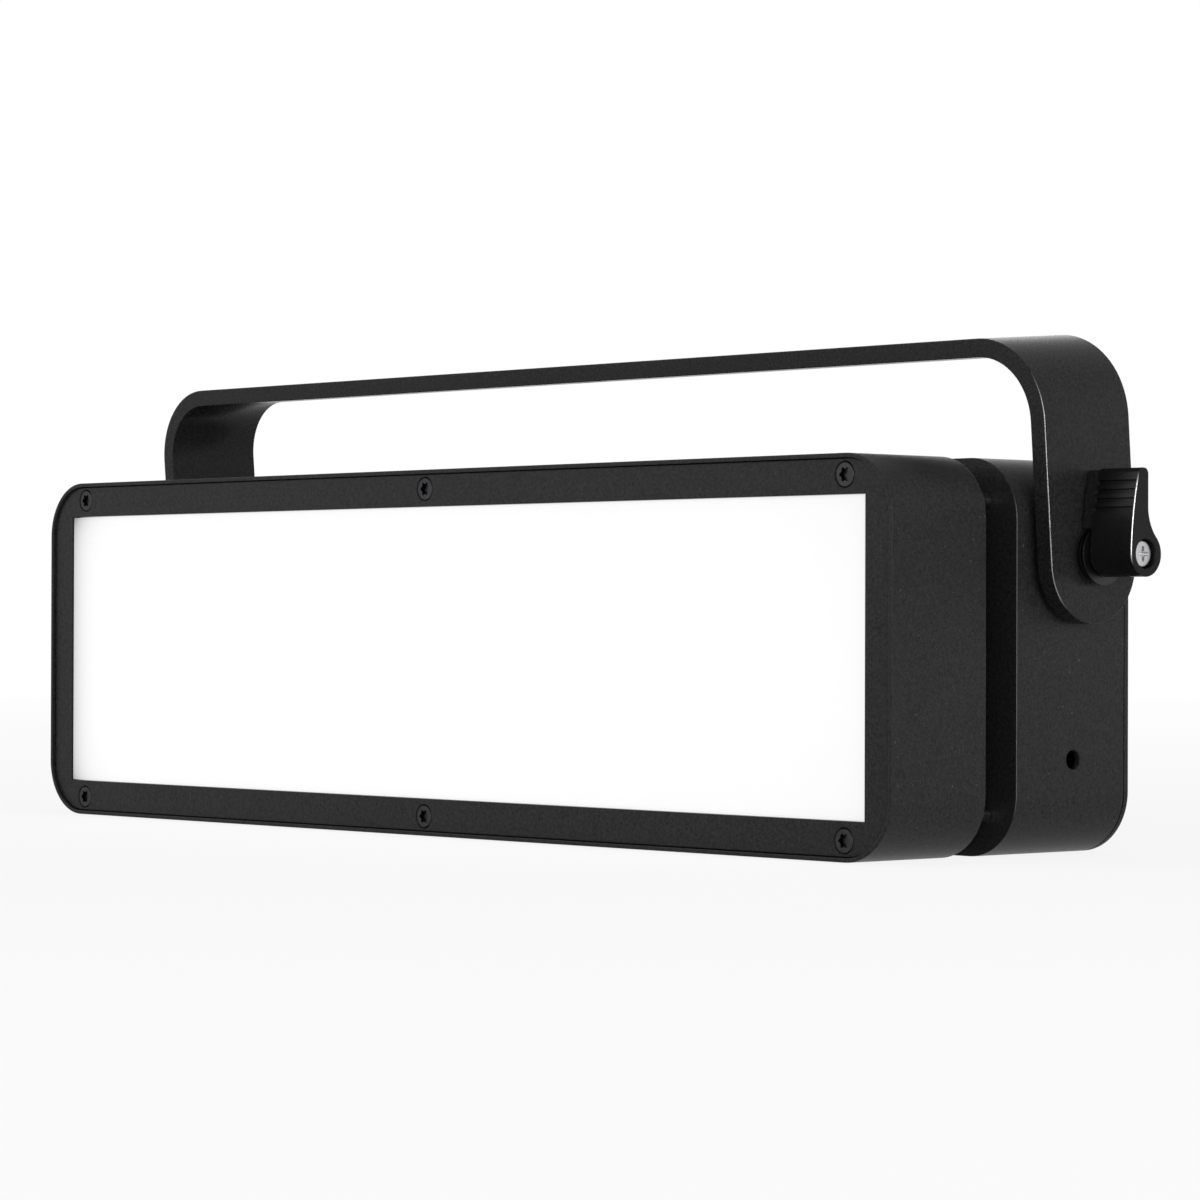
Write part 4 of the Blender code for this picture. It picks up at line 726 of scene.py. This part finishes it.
bar = sheet(bar_length, BAR, BAR / 2, 28, x=bar_length / 2)
block(bar, -BAR_THICK / 2, BAR_THICK / 2)
ease(bar, 0.32 * MM, 3)
eye = BAR / 2 + DROP
pivots = [(eye, 0), (bar_length - eye, 0)]
bar_holes = gather(repeat(block(disc(3.3 * MM, 40), -10 * MM, 10 * MM), pivots),
                   block(disc(6.25 * MM, 56, bar_length / 2), -10 * MM, 10 * MM))
bar = combine(bar, bar_holes)
print("flat bar", round(bar_length * 1000, 1), "mm long")

# %% Bend it to a U
BEND_STEPS = 20
for step in range(BEND_STEPS + 1):
    cut = arm_length + bend_length * step / BEND_STEPS
    for across in (cut, bar_length - cut):
        bmesh.ops.bisect_plane(bar, geom=bar.verts[:] + bar.edges[:] + bar.faces[:],
                               plane_co=(across, 0, 0), plane_no=(1, 0, 0))


def bent(distance, out):
    """Where a point of the flat bar's middle section goes, in X and height over the pivot."""
    if distance > bar_length / 2:
        x, z = bent(bar_length - distance, out)
        return -x, z
    if distance <= arm_length:
        return bend_x + bend_middle + out, RISE - BEND_OUTER - arm_length + distance
    angle = min((distance - arm_length) / bend_middle, math.pi / 2)
    past = max(distance - arm_length - bend_length, 0.0)
    reach = bend_middle + out
    return (bend_x + reach * math.cos(angle) - past,
            RISE - BEND_OUTER + reach * math.sin(angle))


for vert in bar.verts:
    distance, across, out = vert.co
    x, z = bent(distance, out)
    vert.co = (x, across, z)
LEAN = math.radians(4.4)
hand_over("yoke_bar", bar, Matrix.Translation((0, 0, AXIS_Z)) @ Matrix.Rotation(LEAN, 4, "X"),
          bar_coat, "yoke", "yoke")
print("yoke", round((bend_x + BEND_OUTER) * 2000, 1), "mm wide")

# %% [markdown]
# ## The clamps
#
# On each side a stud runs through the yoke into the box. Its flange presses a washer on the yoke,
# and a lever turns it: a nylon grip on a slightly smaller core with the yoke's coat. The lever can
# be pulled out against a spring and set at another angle. It is drawn as on paper: a round hub, a
# hollow rear flank, a slim tip and a slightly bulged front flank with four grip grooves. Arcs come
# from spinning one vertex round a centre.

# %% A pen that draws straight runs and arcs
class Pen:
    """Draws an outline from point to point, then fills it."""

    def __init__(self, x, y):
        self.bm = bmesh.new()
        self.tip = self.first = self.bm.verts.new((x, y, 0))

    def line(self, x, y):
        last, self.tip = self.tip, self.bm.verts.new((x, y, 0))
        self.bm.edges.new((last, self.tip))
        return self

    def arc(self, centre, degrees, steps):
        spun = bmesh.ops.spin(self.bm, geom=[self.tip], cent=(*centre, 0), axis=(0, 0, 1),
                              angle=math.radians(degrees), steps=steps, use_duplicate=False)
        self.tip = spun["geom_last"][0]
        return self

    def face(self):
        self.bm.edges.new((self.tip, self.first))
        bmesh.ops.contextual_create(self.bm, geom=self.bm.edges[:])
        return self.bm

# %% The lever's outline
HUB, TIP_UP, TIP_ROUND = 7.2 * MM, 26.9 * MM, 1.9 * MM
TIP_FRONT, TIP_REAR, HOLLOW, BULGE = -3.8 * MM, 1.1 * MM, 14 * MM, 0.7 * MM
hollow_x = TIP_REAR + HOLLOW
hollow_y = math.sqrt((HUB + HOLLOW) ** 2 - hollow_x ** 2)
meet = math.degrees(math.atan2(hollow_y, hollow_x))

flank = Vector((TIP_FRONT + HUB, TIP_UP - TIP_ROUND))
flank_radius = (flank.length ** 2 / 4 + BULGE ** 2) / (2 * BULGE)
flank_turn = 2 * math.degrees(math.asin(flank.length / 2 / flank_radius))
inward = Vector((flank.y, -flank.x)).normalized()
flank_centre = Vector((-HUB, 0)) + flank / 2 + inward * (flank_radius - BULGE)

lever_side = (Pen(-HUB, 0).arc((0, 0), 180 + meet, 44).arc((hollow_x, hollow_y), -meet, 16)
              .line(TIP_REAR, TIP_UP - TIP_ROUND)
              .arc((TIP_REAR - TIP_ROUND, TIP_UP - TIP_ROUND), 90, 6)
              .line(TIP_FRONT + TIP_ROUND, TIP_UP)
              .arc((TIP_FRONT + TIP_ROUND, TIP_UP - TIP_ROUND), 90, 6)
              .arc(flank_centre, flank_turn, 14).face())
print("lever outline:", len(lever_side.verts), "points")

# %% Raise the grip and the core under it, bore both and cut the grooves
INNER, OUTER, SKIRT_FOOT = 5.3 * MM, 21.6 * MM, 0.6 * MM

bmesh.ops.translate(lever_side, verts=lever_side.verts, vec=(0, 0, INNER))
lever_core = lever_side.copy()
pull(lever_side, lever_side.faces[:], OUTER - INNER)
ease(lever_side, 0.32 * MM, 3, lambda middle: middle.z > OUTER - 0.1 * MM)
for vert in lever_core.verts:
    vert.co += Vector((-vert.co.x, 9.85 * MM - vert.co.y, 0)).normalized() * 0.4 * MM
pull(lever_core, lever_core.faces[:], SKIRT_FOOT - INNER)
ease(lever_core, 0.3 * MM, 2, lambda middle: middle.z < SKIRT_FOOT + 0.1 * MM)

bore = lathe(mm((0, -2), (10.4, -2), (10.4, 4.6), (4.9, 4.6), (4.9, 9.1), (2.8, 9.1), (2.8, 10.6),
                (4.65, 10.6), (4.65, 21.3), (5.05, 21.7), (5.05, 23), (0, 23)))
lever_side, lever_core = combine(lever_side, bore.copy()), combine(lever_core, bore)

grooves = []
for height in (14.0 * MM, 16.8 * MM, 19.6 * MM, 22.4 * MM):
    turn = math.pi - math.asin((height - flank_centre.y) / flank_radius)
    groove = block(sheet(2.0 * MM, 1.5 * MM, 0.15 * MM, 3, x=flank_radius + 0.1 * MM), -MM,
                   OUTER - 0.7 * MM)
    bmesh.ops.transform(groove, verts=groove.verts, matrix=Matrix.Translation(
        (*flank_centre, 0)) @ Matrix.Rotation(turn, 4, "Z"))
    grooves.append(groove)
lever_side = combine(lever_side, gather(*grooves))
print("grip grooves:", len(grooves))

# %% Stud, washers and the screw in the hub
stud = lathe(mm((0, -23), (2.5, -23), (3, -22.4), (3, 1.8), (6, 1.8), (6, 3.4), (9.8, 3.4),
                (9.8, 4.3), (4.6, 4.3), (4.6, 8.8), (2.8, 8.8), (2.8, 5), (0, 5)), soft=0.12 * MM)
washer = lathe(mm((3.3, 0.3), (8.2, 0.3), (8.2, 1.5), (3.3, 1.5)), soft=0.15 * MM, ring=True)
side_ring = lathe(mm((3.3, -8.2), (11, -8.2), (11, -6.3), (3.3, -6.3)), soft=0.3 * MM, ring=True)
hub_screw = lathe(mm((0, 5.3), (2.1, 5.3), (2.5, 5.7), (2.5, 18.2), (4.15, 18.2), (4.15, 19.8),
                     (3.9, 20.1), (3.4, 20.2), (0, 20.2)), 56)
cross = combine(slab(4.8, 1.2, 19, 21, 0.3, 3), slab(1.2, 4.8, 19, 21, 0.3, 3), "UNION")
cross = combine(cross, lathe(mm((0, 18.5), (1.5, 20.3), (1.5, 21.1), (0, 21.1)), 24), "UNION")
hub_screw = combine(hub_screw, cross)

for side, x in (("right", ARM_X), ("left", -ARM_X)):
    place = facing(side, x, 0, AXIS_Z)
    for name, shape, finish, body, solid in (
            ("lever", lever_side, grip_nylon, f"{side}_lever", "clamp_lever"),
            ("lever_core", lever_core, bar_coat, f"{side}_lever", "clamp_lever"),
            ("stud", stud, turned_oxide, f"{side}_clamp", "clamp_stud"),
            ("washer", washer, turned_oxide, f"{side}_clamp", "plain_washer"),
            ("hub_screw", hub_screw, zinc, f"{side}_clamp", "lever_screw"),
            ("side_ring", side_ring, fitting_nylon, "head", "side_washer")):
        hand_over(f"{name}_{side}", shape.copy(), place, finish, body, f"{solid}_{side}")
print("clamps: two, each of a lever on its core, a stud, two washers and a screw")

# %% [markdown]
# ## Rear cover
#
# The photograph doesn't show the back. A lamp of this kind has its connections there, so the
# cover has openings for a mains inlet, a rocker switch, data in and out, a small display with
# four keys, and a dimmer knob. Seen from behind, x runs the other way, which is why each place
# below has its sign changed.

# %% Cover plate with its openings
COVER = 2 * MM
INLET_AT, SWITCH_AT, DATA_IN_AT, DATA_OUT_AT, DISPLAY_AT, KNOB_AT = mm(
    (150, 13), (112, 13), (-125, 13), (-163, 13), (-5, 23), (-70, 13))
key_spots = [(-5 * MM - 15 * MM * (1.5 - index), -1 * MM) for index in range(4)]

cover = head_sheet()
pull(cover, cover.faces[:], COVER)
ease(cover, 0.3 * MM, 3, lambda middle: middle.z > COVER - 0.05 * MM)
ease(cover, 0.2 * MM, 2, lambda middle: middle.z < 0.05 * MM)
openings = [sheet(27.6 * MM, 20.2 * MM, x=INLET_AT[0], y=INLET_AT[1]),
            sheet(13.4 * MM, 19.6 * MM, x=SWITCH_AT[0], y=SWITCH_AT[1]),
            disc(10.8 * MM, 56, *DATA_IN_AT), disc(10.8 * MM, 56, *DATA_OUT_AT),
            sheet(62.6 * MM, 26.6 * MM, 0.6 * MM, 3, *DISPLAY_AT), disc(3.3 * MM, 32, *KNOB_AT)]
openings += [sheet(9.2 * MM, 6.2 * MM, 1.5 * MM, 5, *spot) for spot in key_spots]
cover = combine(cover, gather(*[block(opening, -MM, 4 * MM) for opening in openings]))
cover = combine(cover, countersinks(COVER))
hand_over("cover_plate", cover, facing("rear", 0, COVER_SEAT, HEAD_MIDDLE), box_coat, "head",
          "rear_cover")
print("openings in the cover:", len(openings))

# %% [markdown]
# ## Fittings on the rear cover
#
# Each fitting is a moulding with a flange outside the cover and a body inside it, cut out from
# the front. Metal contacts are pieces of their own, because their finish differs. Moulded edges
# are never sharp, so every flange is eased before it is joined to its body.

# %% A flange with its body behind it
def fitting(flange, body):
    """Join an eased flange to the body behind it."""
    block(flange, 0.3 * MM, 2.3 * MM)
    ease(flange, 0.35 * MM, 3, lambda middle: middle.z > 2.2 * MM)
    return combine(flange, body, "UNION")


def rear_place(spot, y=COVER_FACE):
    return facing("rear", -spot[0], y, HEAD_MIDDLE + spot[1])

# %% Mains inlet
inlet = fitting(sheet(30.8 * MM, 24 * MM, 3.5 * MM, 6), slab(27, 19.6, -18, 1.3, 0.5, 2))
mouth = (Pen(-12 * MM, -7.8 * MM).line(12 * MM, -7.8 * MM).line(12 * MM, 3.3 * MM)
         .line(7.5 * MM, 7.8 * MM).line(-7.5 * MM, 7.8 * MM).line(-12 * MM, 3.3 * MM).face())
inlet = combine(inlet, block(mouth, -12.5 * MM, 4 * MM))
hand_over("inlet_shell", inlet, rear_place(INLET_AT), fitting_nylon, "head", "power_inlet")

blade = slab(2, 4, -12.7, -1.5)
ease(blade, 0.4 * MM, 2, lambda middle: middle.z > -1.6 * MM)
blades = repeat(blade, mm((-7, -1.8), (7, -1.8), (0, 1.8)))
hand_over("inlet_blades", blades, rear_place(INLET_AT), nickel, "head", "power_inlet")
print("mains inlet with three blades")

# %% Rocker switch
frame_moulding = fitting(sheet(15 * MM, 21.2 * MM, 1.2 * MM, 4), slab(12.8, 19, -14, 1.3))
frame_moulding = combine(frame_moulding, slab(10.2, 16, -7.1, 4))
hand_over("switch_surround", frame_moulding, rear_place(SWITCH_AT), fitting_nylon, "head",
          "switch_frame")

valley_radius = 21.6 * MM
valley_turn = 2 * math.degrees(math.asin(7.1 * MM / valley_radius))
rocker = (Pen(-3 * MM, -7.1 * MM).line(2.6 * MM, -7.1 * MM)
          .arc((1.4 * MM + valley_radius, 0), -valley_turn, 14).line(-3 * MM, 7.1 * MM).face())
block(rocker, -4.8 * MM, 4.8 * MM)
ease(rocker, 0.3 * MM, 3)
ROCKER_AXIS, ROCKER_TILT = (-112 * MM, 28.1 * MM, 76 * MM), 10
hand_over("rocker", rocker, Matrix.Translation(ROCKER_AXIS)
          @ Matrix.Rotation(math.radians(-ROCKER_TILT), 4, "X") @ facing("right", 0, 0, 0),
          grip_nylon, "switch_rocker", "switch_rocker")
print("rocker tilted", ROCKER_TILT, "degrees at rest")

# %% Data connectors
PIN_RING = 4.9 * MM
pin_spots = [(PIN_RING * math.cos(math.radians(angle)), PIN_RING * math.sin(math.radians(angle)))
             for angle in (-10, 40, 90, 140, 190)]
fixing_spots = mm((-9.6, 12), (9.6, -12))


def data_shell():
    """Square flange on a round body, countersunk for two small fixing screws."""
    shell = fitting(sheet(26 * MM, 31 * MM, 3.5 * MM, 6),
                    block(disc(10.5 * MM, 56), -18 * MM, 1.3 * MM))
    sinks = lathe(mm((0, 3), (2.4, 3), (2.4, 2.2), (1.2, 1.0), (1.2, 0.8), (0, 0.8)), 32)
    return combine(shell, repeat(sinks, fixing_spots))


bore_in = lathe(mm((0, -12.5), (8.2, -12.5), (8.2, 1.9), (8.7, 2.4), (8.7, 4), (0, 4)), 56)
hand_over("data_in_shell", combine(data_shell(), bore_in), rear_place(DATA_IN_AT), fitting_nylon,
          "head", "data_in")
pin = lathe(mm((0, -12.8), (0.8, -12.8), (0.8, -3.9), (0.6, -3.6), (0, -3.5)), 20)
hand_over("data_in_pins", repeat(pin, pin_spots), rear_place(DATA_IN_AT), nickel, "head",
          "data_in")

ring_cut = lathe(mm((5.8, -12.5), (8.2, -12.5), (8.2, 1.9), (8.7, 2.4), (8.7, 4), (5.8, 4)), 56,
                 ring=True)
socket_hole = lathe(mm((0, -12.5), (1.2, -12.5), (1.2, 2), (1.5, 2.35), (1.5, 4), (0, 4)), 20)
outlet = combine(combine(data_shell(), ring_cut), repeat(socket_hole, pin_spots))
hand_over("data_out_shell", outlet, rear_place(DATA_OUT_AT), fitting_nylon, "head", "data_out")

small_head = lathe(mm((0, 1.0), (1.1, 1.0), (2.2, 2.05), (2.2, 2.15), (2.05, 2.2), (0, 2.2)), 32)
lobes = lobed_recess(1.2 * MM, 0.26, 0.7 * MM)
bmesh.ops.translate(lobes, verts=lobes.verts, vec=(0, 0, 2.2 * MM))
small_head = repeat(combine(small_head, lobes), fixing_spots)
for word, spot in (("in", DATA_IN_AT), ("out", DATA_OUT_AT)):
    hand_over(f"data_{word}_fixings", small_head.copy(), rear_place(spot), oxide, "head",
              f"data_{word}")
print("data connectors with", len(pin_spots), "contacts each")

# %% Display, keys and knob
window = block(sheet(62 * MM, 26 * MM, 0.4 * MM, 3), 0, COVER)
ease(window, 0.15 * MM, 2)
hand_over("display_pane", window, rear_place(DISPLAY_AT, COVER_SEAT), smoke, "head",
          "display_window")

key = slab(8.6, 5.6, -1, 3.4, 1.2, 5)
ease(key, 0.5 * MM, 3, lambda middle: middle.z > 3.3 * MM)
key = combine(key, slab(10.6, 7.6, -1.3, -0.3, 1.2, 4), "UNION")
for number, spot in enumerate(reversed(key_spots), start=1):
    hand_over(f"key_{number}", key.copy(), rear_place(spot, COVER_SEAT), fitting_nylon,
              f"menu_button_{number}", f"menu_button_{number}")

FLUTES = 20
grip = disc(9.3 * MM, 160)
for vert in grip.verts:
    swing = math.cos(FLUTES * math.atan2(vert.co.y, vert.co.x))
    vert.co.xy *= 1 - 0.05 * (1 - swing) / 2
block(grip, 1.5 * MM, 13.6 * MM)
ease(grip, 0.6 * MM, 3, lambda middle: middle.z > 13.5 * MM, 60)
skirt = lathe(mm((0, -3), (3, -3), (3, 0.6), (10.3, 0.6), (10.5, 0.8), (10.5, 1.7), (9.3, 3),
                 (0, 3)), 80)
knob = combine(grip, skirt, "UNION")
knob = combine(knob, slab(1, 7, 13.3, 15, y=4.6))
hand_over("knob", knob, rear_place(KNOB_AT), fitting_nylon, "dimmer_knob", "dimmer_knob")
hand_over("knob_mark", slab(0.9, 6.9, 13.2, 13.55, y=4.6), rear_place(KNOB_AT), ink,
          "dimmer_knob", "dimmer_knob")
print("keys:", len(key_spots), "- flutes on the knob:", FLUTES)

# %% [markdown]
# ## Solids that stay as they are
#
# The pieces inside the lamp, the bushes and the springs already have their true shape. They keep
# it, and only take a finish.

# %% Dress the remaining solids
dressed = {
    opal: ["diffuser"],
    paint: ["reflector_frame"],
    lacquer: ["led_board", "driver_board", "control_board"],
    drawn: ["heat_sink", "power_supply"],
    rubber: ["led_lead"],
    oxide: ["pivot_bush_right", "pivot_bush_left", "lower_bush_right", "lower_bush_left"],
    nickel: ["lever_spring_right", "lever_spring_left"],
}
for finish, names in dressed.items():
    for name in names:
        for slot in nodes[name].material_slots:
            slot.material = finish.material
bare = [name for name, node in nodes.items()
        if not node.hide_render and not any(name in names for names in dressed.values())]
print("solids without a finish of their own:", bare)

# %% [markdown]
# ## Floor, light and camera
#
# The lamp stands on a wide pale floor under a pale sky, and both are white only where the camera
# or a reflection sees them. Reflections see the sky a little darker overhead, so that flat tops
# stay black. The light on the lamp itself is set apart: six soft boxes and a narrow strip at a
# plain level, so that a colour renders about as it is written. The one behind stands low, because
# from higher up its reflection turns the yoke's bends grey.

# %% Pale floor and surroundings
world = bpy.data.worlds.new("pale_room")
bpy.context.scene.world = world
world.use_nodes = True
room = Nodes(world.node_tree)
ROOM_LIGHT = 0.20


def seen(tree):
    """1 for camera, mirror and glass rays, which see the background, and 0 for the rest."""
    paths = tree.node("ShaderNodeLightPath", {}, {}).socket.node.outputs
    camera, glossy, glass = (Value(tree.tree, paths[name]) for name in
                             ("Is Camera Ray", "Is Glossy Ray", "Is Transmission Ray"))
    return (camera + glossy + glass).least(1.0)


heading = room.node("ShaderNodeTexCoord", {}, {}, "Generated")
rise = room.node("ShaderNodeSeparateXYZ", {}, {0: heading}, "Z")
view = room.node("ShaderNodeLightPath", {}, {}, "Is Camera Ray")
ceiling = ((rise * rise * -1.0).exp() + view).least(1.0)
feed(room.tree, ROOM_LIGHT + (1 - ROOM_LIGHT) * seen(room) * ceiling,
     room.tree.nodes["Background"].inputs["Strength"])
room.tree.nodes["Background"].inputs["Color"].default_value = (1, 1, 1, 1)

stone = Finish("pale_floor", "", {"Roughness": 0.9, "Specular IOR Level": 0.0})
stone.wire("Base Color", stone.tint((0.86, 0.86, 0.86), 0.98 + 0.04 * stone.grain(0.5)))
glow = stone.node("ShaderNodeEmission", {}, {"Color": (1, 1, 1, 1), "Strength": 1.0})
far = stone.node("ShaderNodeVectorMath", {"operation": "LENGTH"}, {0: stone.place()}, "Value")
even = (0.86 + 0.05 * far).least(1.0)
mixed = stone.node("ShaderNodeMixShader", {}, {0: even * seen(stone),
                                               1: Value(stone.tree, stone.shader.outputs[0]),
                                               2: glow})
stone.tree.links.new(mixed.socket, stone.tree.nodes["Material Output"].inputs["Surface"])
FLOOR_SIZE, FLOOR_BELOW = 120, 0.0003
floor_shape = sheet(FLOOR_SIZE, FLOOR_SIZE)
floor_mesh = bpy.data.meshes.new("floor")
floor_shape.to_mesh(floor_mesh)
floor = bpy.data.objects.new("floor", floor_mesh)
floor.location.z = -FLOOR_BELOW
floor_mesh.materials.append(stone.material)
bpy.context.scene.collection.objects.link(floor)
print("floor and room, light level", ROOM_LIGHT)

# %% Soft boxes
TARGET = Vector((0, -0.03, 0.08))


def soft_box(name, spot, width, height, level):
    """An area lamp whose light on a surface that faces it renders white as the given level."""
    lamp = bpy.data.lights.new(name, "AREA")
    lamp.shape, lamp.size, lamp.size_y = "RECTANGLE", width, height
    towards = TARGET - Vector(spot)
    lamp.energy = level * math.pi ** 2 * towards.length_squared
    holder = bpy.data.objects.new(name, lamp)
    holder.location = spot
    holder.rotation_euler = towards.to_track_quat("-Z", "Y").to_euler()
    bpy.context.scene.collection.objects.link(holder)


soft_box("front_box_light", (-0.95, -1.35, 0.80), 1.2, 0.9, 0.40)
soft_box("side_box_light", (2.3, 0.00, 0.22), 1.1, 0.5, 0.34)
soft_box("fill_box_light", (1.7, -1.6, 0.45), 1.0, 0.7, 0.11)
soft_box("rear_box_light", (-1.3, 1.5, 0.75), 1.6, 0.9, 0.08)
soft_box("back_box_light", (0.2, 2.3, 0.45), 1.4, 0.8, 0.36)
soft_box("top_box_light", (0.2, 0.4, 2.4), 1.6, 1.2, 0.09)
soft_box("strip_light", (1.9, -0.9, 0.6), 0.14, 1.0, 0.12)
print("soft boxes: 6, and a strip that puts a fine line on the front edges")

# %% Camera
EYE = Vector((1.09665, -0.98107, 0.07365))
HEADING, PITCH, ROLL = math.radians(48.187), math.radians(0.31), math.radians(0.172)
FOCAL_PIXELS, PICTURE_PIXELS, SENSOR = 4113.7, 1200, 36.0

ahead = Vector((-math.sin(HEADING) * math.cos(PITCH), math.cos(HEADING) * math.cos(PITCH),
                math.sin(PITCH)))
level_right = Vector((math.cos(HEADING), math.sin(HEADING), 0))
level_up = level_right.cross(ahead)
right = level_right * math.cos(ROLL) + level_up * math.sin(ROLL)
view_up = right.cross(ahead)
lens = bpy.data.cameras.new("studio_camera")
lens.sensor_width, lens.sensor_fit = SENSOR, "HORIZONTAL"
lens.lens = FOCAL_PIXELS / PICTURE_PIXELS * SENSOR
camera = bpy.data.objects.new("studio_camera", lens)
turned_to = Matrix((right, view_up, -ahead)).transposed().to_4x4()
camera.matrix_world = Matrix.Translation(EYE) @ turned_to
bpy.context.scene.collection.objects.link(camera)
bpy.context.scene.camera = camera
bpy.context.scene.view_settings.view_transform = "Standard"
print("lens", round(lens.lens, 1), "mm")

# %% [markdown]
# ## Last step
#
# The last line brings the view layer up to date.

# %% Bring the scene up to date
bpy.context.view_layer.update()
